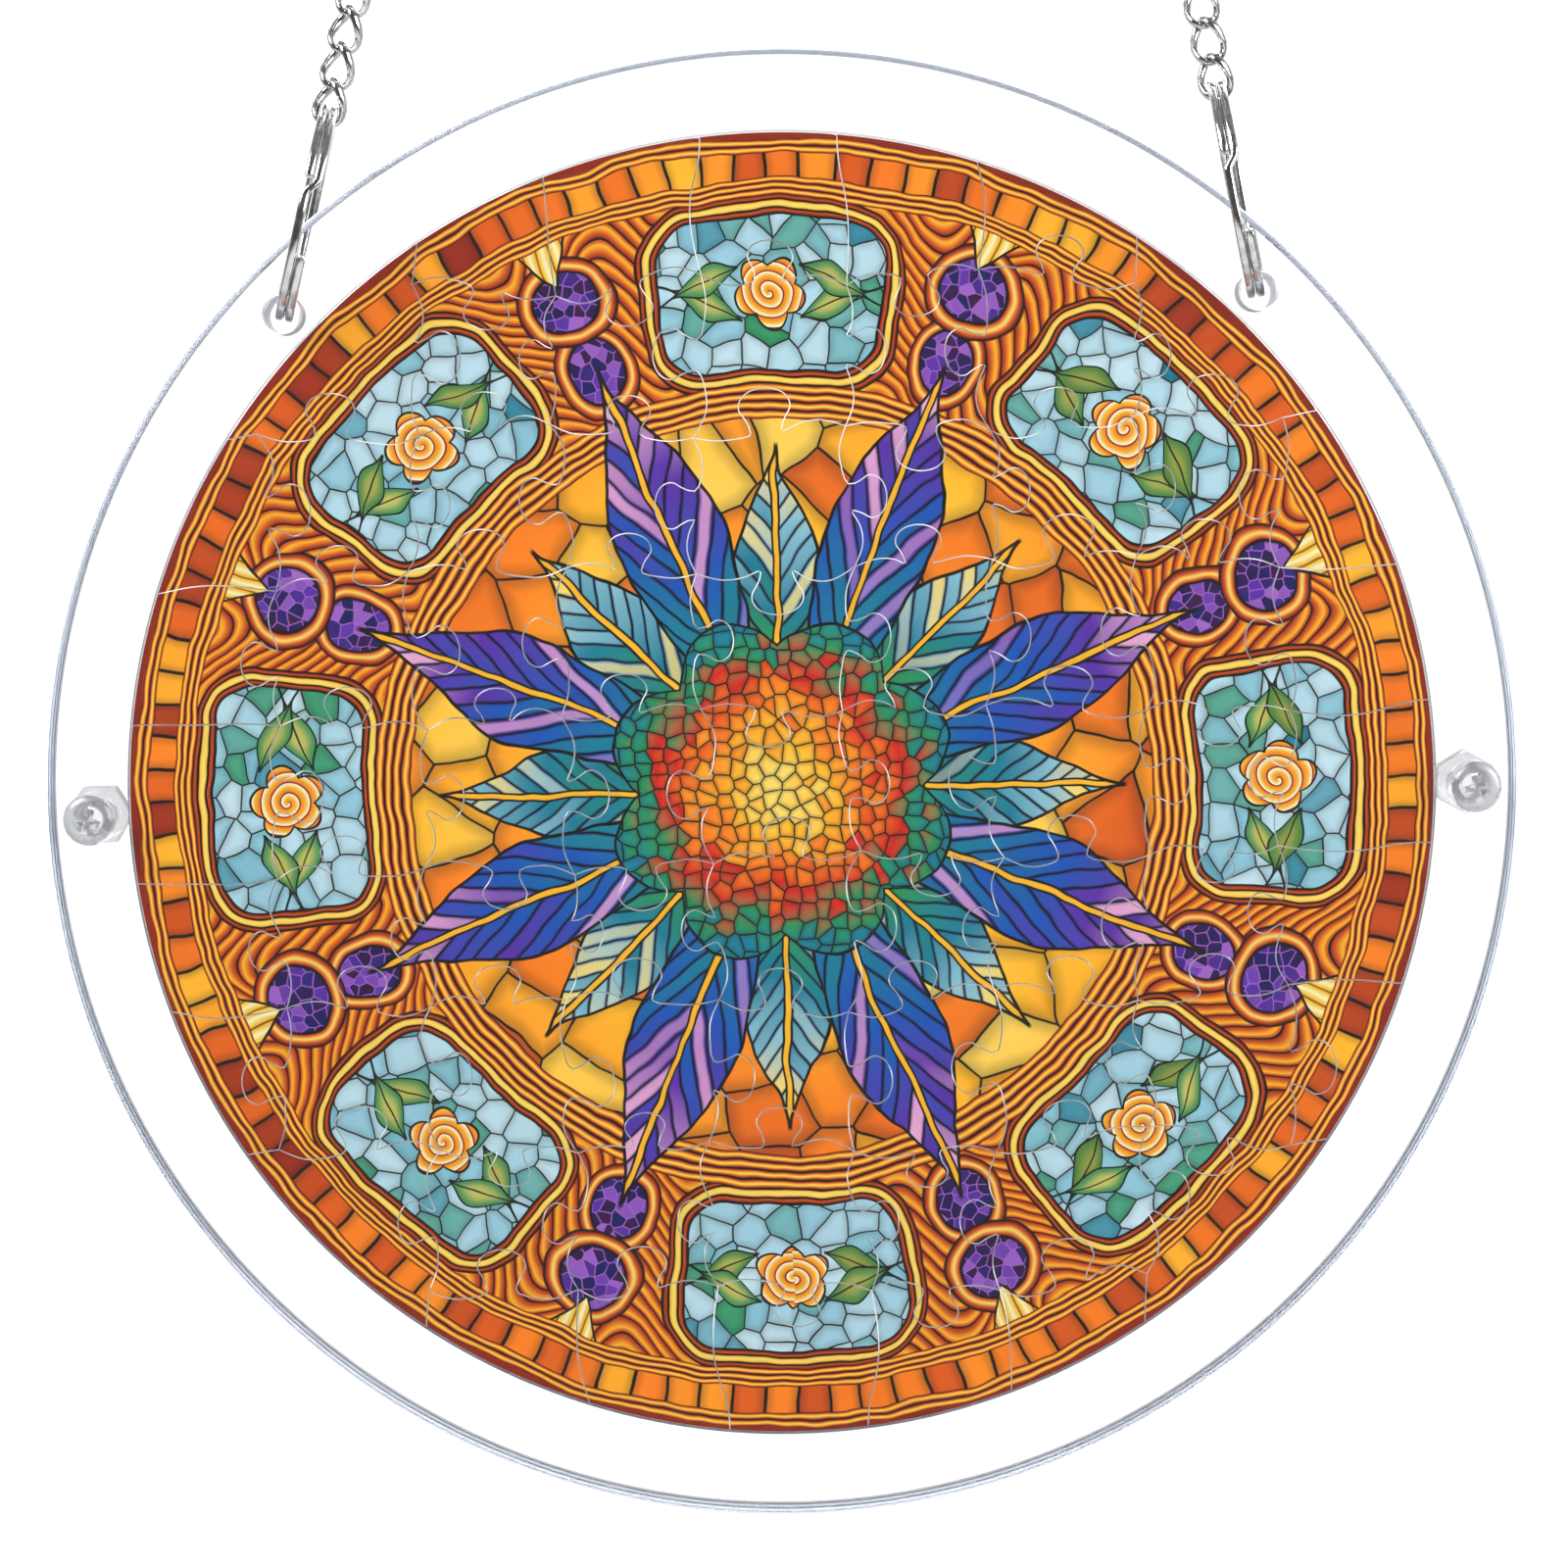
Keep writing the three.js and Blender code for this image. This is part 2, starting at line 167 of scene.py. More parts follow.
@dataclass(frozen=True, eq=False)
class Pattern:
    """Arithmetic on fields, written as the nodes of one material.

    Attributes:
        tree: The material's node tree.
    """

    tree: bpy.types.NodeTree

    def fill(self, node: Node, values: dict) -> None:
        """Set inputs of a node to constants, or link them to fields or outputs.

        Args:
            node: The node.
            values: Constants, fields or outputs, by the input's number or name.
        """
        for key, value in values.items():
            if isinstance(value, Glass):
                value = value.linear()
            if isinstance(value, Field):
                value = value.socket
            if isinstance(value, NodeSocket):
                self.tree.links.new(value, node.inputs[key])
            else:
                node.inputs[key].default_value = value

    def node(self, kind: str, *values: object, named: dict | None = None, **settings: object) -> Node:
        """A new node.

        Args:
            kind: Its type, without the leading ShaderNode.
            *values: Values of its first inputs.
            named: Values of other inputs, by name.
            **settings: Attributes to set on it.

        Returns:
            The node.
        """
        made = self.tree.nodes.new("ShaderNode" + kind)
        for name, value in settings.items():
            setattr(made, name, value)
        self.fill(made, dict(enumerate(values)) | (named or {}))
        return made

    def calc(self, operation: str, *terms: Number) -> Field:
        """One step of arithmetic on fields or plain numbers."""
        return Field(self, self.node("Math", *terms, operation=operation).outputs[0])

    def spread(self, value: Field, low: float, high: float, start: float, end: float) -> Field:
        """Take the range from low to high smoothly to the one from start to end."""
        node = self.node("MapRange", value, low, high, start, end, interpolation_type="SMOOTHSTEP")
        return Field(self, node.outputs[0])

    def point(self, x: Number, y: Number) -> NodeSocket:
        """A point of a plane from its two coordinates."""
        return self.node("CombineXYZ", x, y).outputs[0]

    def at(self, output: str = "Object") -> NodeSocket:
        """The coordinates that patterns are read at."""
        return self.node("TexCoord").outputs[output]

    def apart(self, at: NodeSocket) -> tuple[Field, ...]:
        """The three coordinates of a point."""
        return tuple(Field(self, socket) for socket in self.node("SeparateXYZ", at).outputs)

    def noise(self, at: NodeSocket, scale: float, detail: float) -> Field:
        """Soft random field from 0 to 1.

        Args:
            at: Where it is read.
            scale: Patches to a unit of length.
            detail: Finer layers.

        Returns:
            The field.
        """
        node = self.node("TexNoise", named={"Vector": at, "Scale": scale, "Detail": detail})
        return Field(self, node.outputs[0])

    def chance(self, seed: Field) -> Field:
        """A random number from 0 to 1 for each value of a field."""
        node = self.node("TexWhiteNoise", noise_dimensions="1D", named={"W": seed})
        return Field(self, node.outputs[0])

    def mosaic(self, at: NodeSocket, scale: float, random: float = 0.9) -> tuple[Field, Field]:
        """Broken cells on a plane.

        Args:
            at: Where they are read.
            scale: Cells to a millimetre.
            random: How uneven they are.

        Returns:
            A random number for each cell, and the distance to the cell's edge in millimetres.
        """
        named = {"Vector": at, "Scale": scale, "Randomness": random}
        cells, edges = (
            self.node("TexVoronoi", voronoi_dimensions="2D", feature=feature, named=named)
            for feature in ("F1", "DISTANCE_TO_EDGE")
        )
        red = self.node("SeparateColor", cells.outputs["Color"]).outputs[0]
        return Field(self, red), Field(self, edges.outputs["Distance"]) / scale

    def ramp(self, value: Field, places: Sequence[float], *colours: Glass) -> NodeSocket:
        """Colours along a field.

        Args:
            value: The field.
            places: Values of the field that have a colour of their own, rising.
            *colours: Those colours.

        Returns:
            The colour.
        """
        node = self.node("ValToRGB", value)
        elements = node.color_ramp.elements
        while len(elements) < len(places):
            elements.new(1.0)
        for element, place, colour in zip(elements, places, colours):
            element.position = place
            element.color = colour.linear()
        return node.outputs[0]

    def paint(self, below: Paint, above: Paint, mask: Number) -> NodeSocket:
        """The lower colour where the mask is 0 and the upper one where it is 1.

        Args:
            below: The lower colour.
            above: The upper colour.
            mask: Share of the upper colour.

        Returns:
            The colour.
        """
        node = self.node("Mix", data_type="RGBA", clamp_factor=True)
        first, second = (number for number, socket in enumerate(node.inputs) if socket.type == "RGBA")
        self.fill(node, {"Factor": mask, first: below, second: above})
        return next(socket for socket in node.outputs if socket.type == "RGBA")

    def leaded(self, below: Paint, above: Paint, wide: Field, narrow: Field) -> NodeSocket:
        """A colour where the narrow mask is 1, with lead round it where the wide one is."""
        return self.paint(self.paint(below, Glass.LEAD, wide), above, narrow)

    def shade(self, colour: NodeSocket, light: Field) -> NodeSocket:
        """A colour made darker or lighter by a factor."""
        return self.node("VectorMath", colour, operation="SCALE", named={"Scale": light}).outputs[0]


# Finishes


def new_material(name: str, look: Colour) -> tuple[Material, Pattern, Node]:
    """A material with one shader.

    Args:
        name: Its name.
        look: Its plain colour.

    Returns:
        The material, its pattern and its shader.
    """
    material = bpy.data.materials.new(name)
    material.use_nodes = True
    material.diffuse_color = (*look, 1.0)
    return material, Pattern(material.node_tree), material.node_tree.nodes["Principled BSDF"]


@dataclass(frozen=True)
class Finish:
    """A finish without a picture: its colour and roughness follow a grain, over a fine unevenness.

    Attributes:
        name: Name of the material.
        look: Its plain colour.
        tint: Its colour.
        rough: Roughness where the grain is low and where it is high.
        bump: Patches to a metre, finer layers, strength and height in metres of the unevenness.
        worn: Its colour where the grain is low, if that is another one.
        grain: Patches to a metre, and finer layers, of the grain.
        full: Grain from which the tint is pure.
        ior: Refractive index.
        clear: Share of light that goes through.
        metal: Whether it is metal.
    """

    name: str
    look: Colour
    tint: Colour
    rough: tuple[float, float]
    bump: tuple[float, float, float, float]
    worn: Colour | None = None
    grain: tuple[float, float] = (2500.0, 2.0)
    full: float = 0.65
    ior: float = 1.5
    clear: float = 0.0
    metal: float = 0.0

    def make(self) -> Material:
        """The finish as a material. What doesn't vary is a plain value on the shader.

        Returns:
            The material.
        """
        material, p, shader = new_material(self.name, self.look)
        at = p.at()
        colour, rough = (*self.tint, 1.0), self.rough[0]
        if self.rough[1] > rough:
            grain = p.noise(at, *self.grain)
            rough = p.spread(grain, 0.3, 0.7, *self.rough)
            if self.worn is not None:
                colour = p.paint((*self.worn, 1.0), colour, p.spread(grain, 0.35, self.full, 0.0, 1.0))
        scale, detail, strength, height = self.bump
        uneven = {"Strength": strength, "Distance": height, "Height": p.noise(at, scale, detail)}
        values = {
            "Base Color": colour,
            "Roughness": rough,
            "IOR": self.ior,
            "Transmission Weight": self.clear,
            "Metallic": self.metal,
            "Normal": p.node("Bump", named=uneven).outputs[0],
        }
        p.fill(shader, values)
        return material


CLEAR = Finish(
    "clear_acrylic",
    (0.9, 0.95, 1.0),
    (0.998, 0.999, 1.0),
    (0.0, 0.0),
    (60.0, 1.0, 0.15, 2e-6),
    ior=1.49,
    clear=1.0,
)
NYLON = Finish(
    "natural_nylon",
    (0.86, 0.87, 0.88),
    (0.84, 0.845, 0.86),
    (0.2, 0.34),
    (900.0, 2.0, 0.2, 3e-5),
    worn=(0.75, 0.755, 0.78),
    grain=(420.0, 3.0),
    ior=1.53,
    clear=0.95,
)
NICKEL = Finish(
    "nickel_plate",
    (0.78, 0.78, 0.8),
    (0.52, 0.52, 0.53),
    (0.07, 0.17),
    (900.0, 1.0, 0.04, 1e-5),
    worn=(0.40, 0.385, 0.38),
    grain=(700.0, 3.0),
    full=0.6,
    metal=1.0,
)


def cut_acrylic(name: str, tint: Colour, clear: float, rough: float) -> Finish:
    """Finish of a wall left by the laser: clear acrylic with a frosted, faintly uneven surface.

    Args:
        name: Name of the material.
        tint: Its colour.
        clear: Share of light that goes through it.
        rough: Its mean roughness.

    Returns:
        The finish.
    """
    ends, bump = (rough - 0.08, rough + 0.08), (2500.0, 2.0, 0.3, 2e-5)
    return Finish(name, tint, tint, ends, bump, ior=1.49, clear=clear)


BORE = cut_acrylic("cut_bore", (0.86, 0.86, 0.92), 0.4, 0.4)
KERF = cut_acrylic("cut_kerf", (0.86, 0.86, 0.87), 0.0, 0.5)
RIM = cut_acrylic("flamed_rim", (0.66, 0.71, 0.82), 0.45, 0.12)


@dataclass(frozen=True, eq=False)
class StainedGlassPrint:
    """Printed rosette in the manner of leaded glass.

    Feathers stand round a scaled heart on a golden ground, inside a ring of flower panels and a
    tiled border. Radii and widths are in millimetres. Each layer is given what lies below it, and
    gives back the colour with itself on top.

    Attributes:
        p: Pattern that it is written to.
        flat: Points of the picture.
        radius: Their distance from its centre.
        angle: Their bearing from its top.
        sectors: Repeats of the motif round the centre.
        lead: Width of a lead line.
        ring: Inner and outer radius of the ring of panels.
        panel: Radius of the panels' middles.
        tiles: Tiles in the border.
    """

    p: Pattern
    flat: NodeSocket
    radius: Field
    angle: Field
    sectors: int = 8
    lead: float = 0.34
    ring: tuple[float, float] = (53.0, 81.0)
    panel: float = 67.5
    tiles: float = 116.0

    @classmethod
    def make(cls, place: Matrix, wander: float = 2.6) -> Material:
        """The picture as a material, its lines led a little astray by a slow noise.

        Args:
            place: Place of the disc's centre, in millimetres.
            wander: How far a point may be led astray.

        Returns:
            The material.
        """
        material, p, shader = new_material("stained_glass_print", (0.85, 0.5, 0.18))
        back = place.inverted()
        mapping = p.node("Mapping", vector_type="POINT", named={"Vector": p.at()})
        named = {"Scale": (1.0 / MM,) * 3, "Rotation": back.to_euler(), "Location": back.translation}
        p.fill(mapping, named)
        x, _, z = p.apart(mapping.outputs[0])
        drift, sway = p.noise(p.point(x, z), 0.09, 2.0), p.noise(p.point(z + 37.0, x), 0.09, 2.0)
        x, z = x + (drift - 0.5) * wander, z + (sway - 0.5) * wander
        picture = cls(p, p.point(x, z), hypotenuse(x, z), x.bearing(z))
        colour = picture.ground()
        for layer in (picture.panels, picture.gems, picture.border, picture.petals, picture.heart):
            colour = layer(colour)
        gloss = {"Roughness": 0.28, "Coat Weight": 0.3, "Coat Roughness": 0.08}
        p.fill(shader, {"Base Color": colour} | gloss)
        return material

    def fold(self, shift: float) -> tuple[Field, Field]:
        """Repeat a wedge round the centre.

        Args:
            shift: Share of a wedge that the first one is turned by.

        Returns:
            Bearing inside the wedge, 0 in its middle, and the number of the wedge.
        """
        wedge = TURN / self.sectors
        run = self.angle / wedge + (0.5 + shift)
        number = run.floor()
        return (run - number - 0.5) * wedge, number

    def ground(self) -> NodeSocket:
        """Golden mosaic, pale in the middle and amber outwards.

        Returns:
            The colour.
        """
        chance, edge = self.p.mosaic(self.flat, 0.105)
        tone = chance * 0.6 + self.radius * 0.0085
        tones = Glass.CREAM, Glass.STRAW, Glass.GOLD, Glass.ORANGE, Glass.AMBER
        colour = self.p.ramp(tone, (0.05, 0.3, 0.55, 0.78, 1.0), *tones)
        colour = self.p.shade(colour, self.p.spread(edge, 0.0, 2.6, 0.66, 1.1))
        return self.p.paint(Glass.LEAD, colour, edge.over(self.lead / 2))

    def panels(self, below: Paint) -> NodeSocket:
        """Ring of amber scrollwork with pale panels in golden frames.

        Args:
            below: What lies below.

        Returns:
            The colour.
        """
        p = self.p
        bearing, number = self.fold(0.0)
        across, along = bearing * self.radius, self.radius - self.panel

        # Wavy strands
        strand = (along * 0.42 + (across * 0.33).sine() * 1.6) % 1.0
        wood = p.ramp(strand, (0.12, 0.4, 0.75, 0.92), Glass.BRICK, Glass.AMBER, Glass.GOLD, Glass.AMBER)
        wood = p.paint(Glass.LEAD, wood, strand.over(0.14, 0.1))
        colour = p.paint(below, wood, self.radius.within(*self.ring))

        # Distance to a panel, which is a rounded box and wider outwards, and its frame
        side = abs(across) - (9.5 + along * 0.12)
        end = abs(along) - 4.6
        panel = hypotenuse(side.most(0.0), end.most(0.0)) + side.most(end).least(0.0) - 5.6
        frame_tone = p.spread(abs(panel - 1.3), 0.0, 1.3, 1.0, 0.0)
        gilt = p.ramp(frame_tone, (0.0, 0.45, 0.8, 1.0), Glass.BRICK, Glass.AMBER, Glass.GOLD, Glass.STRAW)
        colour = p.paint(colour, gilt, panel.under(2.6))
        for edge in (0.0, 0.75, 1.9, 2.6):
            colour = p.paint(colour, Glass.LEAD, abs(panel - edge).under(self.lead / 2))

        # Pane
        chance, edge = p.mosaic(self.flat, 0.26)
        tones = Glass.TEAL, Glass.SKY, Glass.ICE, Glass.SKY, Glass.LEAF
        pane = p.ramp(chance, (0.0, 0.08, 0.45, 0.8, 1.0), *tones)
        pane = p.shade(pane, p.spread(edge, 0.0, 1.3, 0.8, 1.08))
        pane = self.posy(p.paint(Glass.LEAD, pane, edge.over(0.11, 0.1)), across, along, number)
        colour = p.paint(colour, pane, panel.under(-0.15))
        return p.paint(colour, Glass.LEAD, abs(panel).under(self.lead / 2))

    def posy(self, below: Paint, across: Field, along: Field, number: Field) -> NodeSocket:
        """Four curved leaves and a golden rose with a wound heart, in the middle of a panel.

        Args:
            below: What lies below.
            across: Distance to the side of the panel's middle.
            along: Distance outwards from the panel's middle.
            number: Which panel it is.

        Returns:
            The colour.
        """
        p, colour, aside = self.p, below, abs(across)
        for lift, bend in ((-1.0, 0.55), (1.0, -0.35)):
            spine = abs(along - lift * 3.2 - (aside - 5.0) * bend)
            width = p.spread(aside, 4.0, 8.5, 0.0, 1.0) * p.spread(aside, 8.5, 13.6, 1.0, 0.0) * 2.2
            depth = width - spine
            leaf = p.paint(Glass.LEAF, Glass.STRAW, p.spread(depth, 0.2, 1.9, 0.05, 0.6))
            leaf = p.paint(leaf, Glass.MOSS, p.chance(number + lift) * 0.7)
            wide, narrow = depth.over(-0.18) * aside.over(4.2), depth.over(0.1) * spine.over(0.12)
            colour = p.leaded(colour, leaf, wide, narrow)
        reach = hypotenuse(across, along)
        bearing = across.bearing(along) + number
        bloom = (3.5 + abs((bearing * 2.5).sine()) * 1.5) - reach
        winding = (reach / 1.35 - bearing / TURN) % 1.0
        petal = p.ramp(winding, (0.0, 0.2, 0.6, 0.95), Glass.BRICK, Glass.ORANGE, Glass.GOLD, Glass.CREAM)
        petal = p.paint(Glass.BRICK, petal, winding.over(0.14, 0.1))
        return p.leaded(colour, petal, bloom.over(-0.25), bloom.over(0.1))

    def gems(self, below: Paint) -> NodeSocket:
        """Two dark oval gems in golden rims between the panels, under a pale fan.

        Args:
            below: What lies below.

        Returns:
            The colour.
        """
        p, colour = self.p, below
        bearing, _ = self.fold(0.5)
        across = bearing * self.radius
        chance, edge = p.mosaic(self.flat, 0.62)
        stone = p.ramp(chance, (0.0, 0.45, 0.7, 1.0), Glass.PLUM, Glass.NAVY, Glass.VIOLET, Glass.ORCHID)
        stone = p.paint(Glass.ORCHID, stone, edge.over(0.07, 0.1))
        for centre, half_width, half_height in ((62.0, 3.6, 4.4), (72.2, 4.6, 4.2)):
            oval = hypotenuse(across / half_width, (self.radius - centre) / half_height)
            rim = p.ramp(abs(oval - 1.22), (0.0, 0.11, 0.2), Glass.STRAW, Glass.AMBER, Glass.BRICK)
            colour = p.leaded(colour, rim, oval.under(1.52, 0.05), oval.under(1.44, 0.05))
            colour = p.leaded(colour, stone, oval.under(1.06, 0.05), oval.under(0.96, 0.05))
        rib = abs((bearing * 42.0) % 1.0 - 0.5)
        plume = p.ramp(rib, (0.0, 0.1, 0.3, 0.5), Glass.LEAD, Glass.GOLD, Glass.STRAW, Glass.CREAM)
        fan = (self.radius - 77.4) * 0.62 + 1.6 - abs(across)
        fan = fan.least((87.6 - abs(across) * 0.22) - self.radius)
        return p.leaded(colour, plume, fan.over(-0.3), fan.over(0.1))

    def border(self, below: Paint) -> NodeSocket:
        """Mouldings on both sides of the panels, and the tiled rim.

        Args:
            below: What lies below.

        Returns:
            The colour.
        """
        p = self.p
        tile = self.angle / TURN * self.tiles
        chance = p.chance(tile.floor() * 1.7)
        joint = abs(tile % 1.0 - 0.5)
        face = p.ramp(chance, (0.0, 0.35, 0.75, 1.0), Glass.BRICK, Glass.AMBER, Glass.ORANGE, Glass.GOLD)
        face = p.shade(face, p.spread(joint, 0.15, 0.5, 1.12, 0.7))
        face = p.paint(face, Glass.LEAD, joint.over(0.45, 0.03))
        colour = p.paint(below, face, self.radius.over(82.6))
        for inner, outer, bands in ((80.2, 82.8, 3.0), (86.3, 88.3, 2.0), (50.4, 55.4, 4.0)):
            band = abs((self.radius - inner) * (bands / (outer - inner)) % 1.0 - 0.5)
            gold = p.ramp(band, (0.0, 0.1, 0.26, 0.38), Glass.STRAW, Glass.GOLD, Glass.AMBER, Glass.BRICK)
            gold = p.paint(gold, Glass.LEAD, band.over(0.38, 0.1))
            colour = p.paint(colour, gold, self.radius.within(inner, outer))
        return p.paint(colour, Glass.BRICK, self.radius.over(88.3))

    def petals(self, below: Paint) -> NodeSocket:
        """Two rows of feathers: green and teal behind, blue to rose in front.

        Args:
            below: What lies below.

        Returns:
            The colour.
        """
        p, colour, start = self.p, below, 12.0
        rows = (
            (0.0, 47.0, 8.6, (Glass.LEAF, Glass.TEAL, Glass.SKY, Glass.STRAW)),
            (0.5, 62.0, 10.6, (Glass.TEAL, Glass.OCEAN, Glass.VIOLET, Glass.ROSE)),
        )
        for shift, end, half_width, tones in rows:
            bearing, number = self.fold(shift)
            across = bearing.sine() * self.radius
            aside = abs(across)
            along = (bearing.cosine() * self.radius - start) / (end - start)
            bow = (along * 1.02).most(0.0).least(1.0).root() * p.spread(along, 0.45, 1.0, 1.0, 0.0)
            depth = bow * half_width - aside
            barb = along * 11.0 - aside * 0.42
            stripe = abs(barb % 1.0 - 0.5)
            chance = p.chance(barb.floor() + number * 13.0 + across.sign() * 3.0)
            plume = p.ramp(along + (chance - 0.5) * 0.42, (0.1, 0.4, 0.7, 1.0), *tones)
            tipped = p.spread(chance, 0.7, 0.95, 0.0, 0.7) * stripe.under(0.3, 0.2)
            for colour_above, mask in (
                (tones[3], tipped),
                (Glass.NAVY, p.spread(stripe, 0.3, 0.46, 0.0, 0.7)),
                (Glass.LEAD, stripe.over(0.44, 0.06)),
                (Glass.LEAD, aside.under(0.62)),
                (Glass.GOLD, aside.under(0.32)),
            ):
                plume = p.paint(plume, colour_above, mask)
            inside = along.within(0.0, 1.0, 0.02)
            colour = p.leaded(colour, plume, depth.over(-0.3) * inside, depth.over(0.15) * inside)
        return colour

    def heart(self, below: Paint) -> NodeSocket:
        """Scales from gold through orange and red to a green and teal edge.

        Args:
            below: What lies below.

        Returns:
            The colour.
        """
        p = self.p
        wave = abs((self.angle * (self.sectors / 2.0)).sine())
        depth = 19.5 + wave * 4.5 - self.radius
        chance, edge = p.mosaic(self.flat, 0.46, 0.75)
        tone = (self.radius - 1.5) * 0.044 + (chance - 0.5) * 0.28
        tones = (Glass.STRAW, Glass.GOLD, Glass.ORANGE, Glass.RED, Glass.LEAF, Glass.TEAL)
        scales = p.ramp(tone, (0.0, 0.22, 0.42, 0.62, 0.8, 0.98), *tones)
        scales = p.shade(scales, p.spread(edge, 0.0, 0.8, 0.7, 1.08))
        scales = p.paint(Glass.LEAD, scales, edge.over(0.1, 0.1))
        return p.leaded(below, scales, depth.over(-0.3), depth.over(0.1))


# Shapes


def grid_faces(rows: int, columns: int, close_rows: bool = False) -> np.ndarray:
    """Quads of a grid of points numbered row by row, each row closed.

    Args:
        rows: Rows of points.
        columns: Points in a row.
        close_rows: Whether the last row joins the first.

    Returns:
        Four corners for each quad.
    """
    last = rows if close_rows else rows - 1
    row, column = np.meshgrid(np.arange(last), np.arange(columns), indexing="ij")
    below, beside = (row + 1) % rows * columns, (column + 1) % columns
    corners = (row * columns + column, below + column, below + beside, row * columns + beside)
    return np.stack(corners, axis=-1).reshape(-1, 4)


def revolve(profile: Sequence, sides: int, reach: Callable | None = None) -> np.ndarray:
    """Turn a profile about Y: a point is (r cos a, y, r sin a).

    Args:
        profile: Rows of radius and y.
        sides: Steps round the axis.
        reach: Gives another radius from the radius, y and the angle, for shapes that aren't round.

    Returns:
        Points, one row for each row of the profile.
    """
    around, rows = np.arange(sides) / sides * TURN, np.array(profile)
    radius, height, around = np.broadcast_arrays(rows[:, :1], rows[:, 1:], around[None])
    if reach is not None:
        radius = reach(radius, height, around)
    return np.stack((radius * np.cos(around), height, radius * np.sin(around)), axis=-1).reshape(-1, 3)


def layered(rings: Sequence[np.ndarray], heights: Sequence[float]) -> tuple[np.ndarray, list[list[int]]]:
    """A closed prism from outlines at rising heights along Y.

    Args:
        rings: Points of each outline, as x and z.
        heights: Their y.

    Returns:
        Points and faces, with a flat face at either end.
    """
    count, rows = len(rings[0]), len(rings)
    points = [np.insert(ring, 1, height, axis=1) for ring, height in zip(rings, heights)]
    ends = [list(range(first, first + count)) for first in (0, (rows - 1) * count)]
    return np.concatenate(points), grid_faces(rows, count).tolist() + ends


def superellipse(half: tuple[float, float], power: float, count: int) -> tuple[np.ndarray, np.ndarray]:
    """A closed outline |u/a|^n + |v/b|^n = 1 and its outward normals.

    Args:
        half: Half of its width, a, and of its height, b.
        power: The exponent n. Two gives an ellipse, and more gives squarer corners.
        count: Points on it.

    Returns:
        Points and unit normals.
    """
    angle = (np.arange(count) + 0.5) / count * TURN
    unit = np.stack((np.cos(angle), np.sin(angle)), axis=-1)
    unit = np.sign(unit) * np.abs(unit) ** (2 / power)
    normal = np.sign(unit) * np.abs(unit) ** (power - 1) / half
    return unit * half, normal / np.linalg.norm(normal, axis=1, keepdims=True)


def placed(points: np.ndarray, matrix: Matrix) -> np.ndarray:
    """Points moved by a matrix."""
    move = np.array(matrix)
    return points @ move[:3, :3].T + move[:3, 3]


def in_metres(place: Matrix) -> Matrix:
    """A place in metres, from one in millimetres.

    Args:
        place: The place in millimetres.

    Returns:
        The place in metres.
    """
    moved = place.copy()
    moved.translation *= MM
    return moved


def mesh_of(name: str, points: np.ndarray, faces: Sequence[Sequence[int]], merge: bool = True) -> Mesh:
    """A closed mesh whose faces point outwards, in metres, from points in millimetres.

    Args:
        name: Its name.
        points: Vertices.
        faces: Corners of each face.
        merge: Whether points that coincide are merged.

    Returns:
        The mesh.
    """
    mesh = bpy.data.meshes.new(name)
    mesh.from_pydata((points * MM).tolist(), [], [list(map(int, face)) for face in faces])
    work = bmesh.new()
    work.from_mesh(mesh)
    if merge:
        bmesh.ops.remove_doubles(work, verts=work.verts, dist=SAME)
    bmesh.ops.recalc_face_normals(work, faces=work.faces)
    work.to_mesh(mesh)
    work.free()
    return mesh


def link(name: str, data: bpy.types.ID | None) -> Object:
    """A new object in the scene.

    Args:
        name: Its name.
        data: What it shows.

    Returns:
        The object.
    """
    made = bpy.data.objects.new(name, data)
    bpy.context.collection.objects.link(made)
    return made


def cut_out(mesh: Mesh, cutters: Sequence[Mesh]) -> Mesh:
    """Take the shapes of closed cutters out of a mesh.

    Args:
        mesh: The mesh to cut.
        cutters: Closed meshes that don't meet each other.

    Returns:
        The cut mesh.
    """
    blank = link(mesh.name, mesh)
    tools = [link(f"{mesh.name}_cutter_{number}", cutter) for number, cutter in enumerate(cutters)]
    for tool in tools:
        cut = blank.modifiers.new("cut", "BOOLEAN")
        cut.operation, cut.solver, cut.object = "DIFFERENCE", "EXACT", tool
    result = bpy.data.meshes.new_from_object(blank.evaluated_get(bpy.context.evaluated_depsgraph_get()))
    for thing in (blank, *tools):
        bpy.data.objects.remove(thing)
    return result


def finish_piece(
    name: str,
    node: str,
    mesh: Mesh,
    materials: Sequence[Material],
    sharp: float = 28.0,
    choose: Callable[[np.ndarray, np.ndarray], np.ndarray] | None = None,
) -> Object:
    """Make a piece of the object from a mesh that is in place.

    Args:
        name: Its name.
        node: CAD node that it stands for.
        mesh: Its mesh.
        materials: Its materials.
        sharp: Angle in degrees from which an edge stays sharp.
        choose: Gives each face's material from the faces' centres, in millimetres, and how far they
            face along Y. With it, the faces square to Y are shaded flat.

    Returns:
        The piece.
    """
    mesh.name = name
    mesh.materials.clear()
    for material in materials:
        mesh.materials.append(material)
    mesh.shade_smooth()
    mesh.set_sharp_from_angle(angle=math.radians(sharp))
    count = len(mesh.polygons)
    if choose is not None:
        centres, normals = np.empty(count * 3), np.empty(count * 3)
        mesh.polygons.foreach_get("center", centres)
        mesh.polygons.foreach_get("normal", normals)
        facing = np.abs(normals[1::3])
        index = choose(centres.reshape(-1, 3) / MM, facing)
        mesh.polygons.foreach_set("material_index", index.astype(np.int32))
        mesh.polygons.foreach_set("use_smooth", facing < SQUARE)
    mesh.update()
    piece = link(name, mesh)
    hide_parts(node)
    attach(piece, "root")
    LOG.info("%s: %d faces", name, count)
    return piece


# Sizes that the pieces share


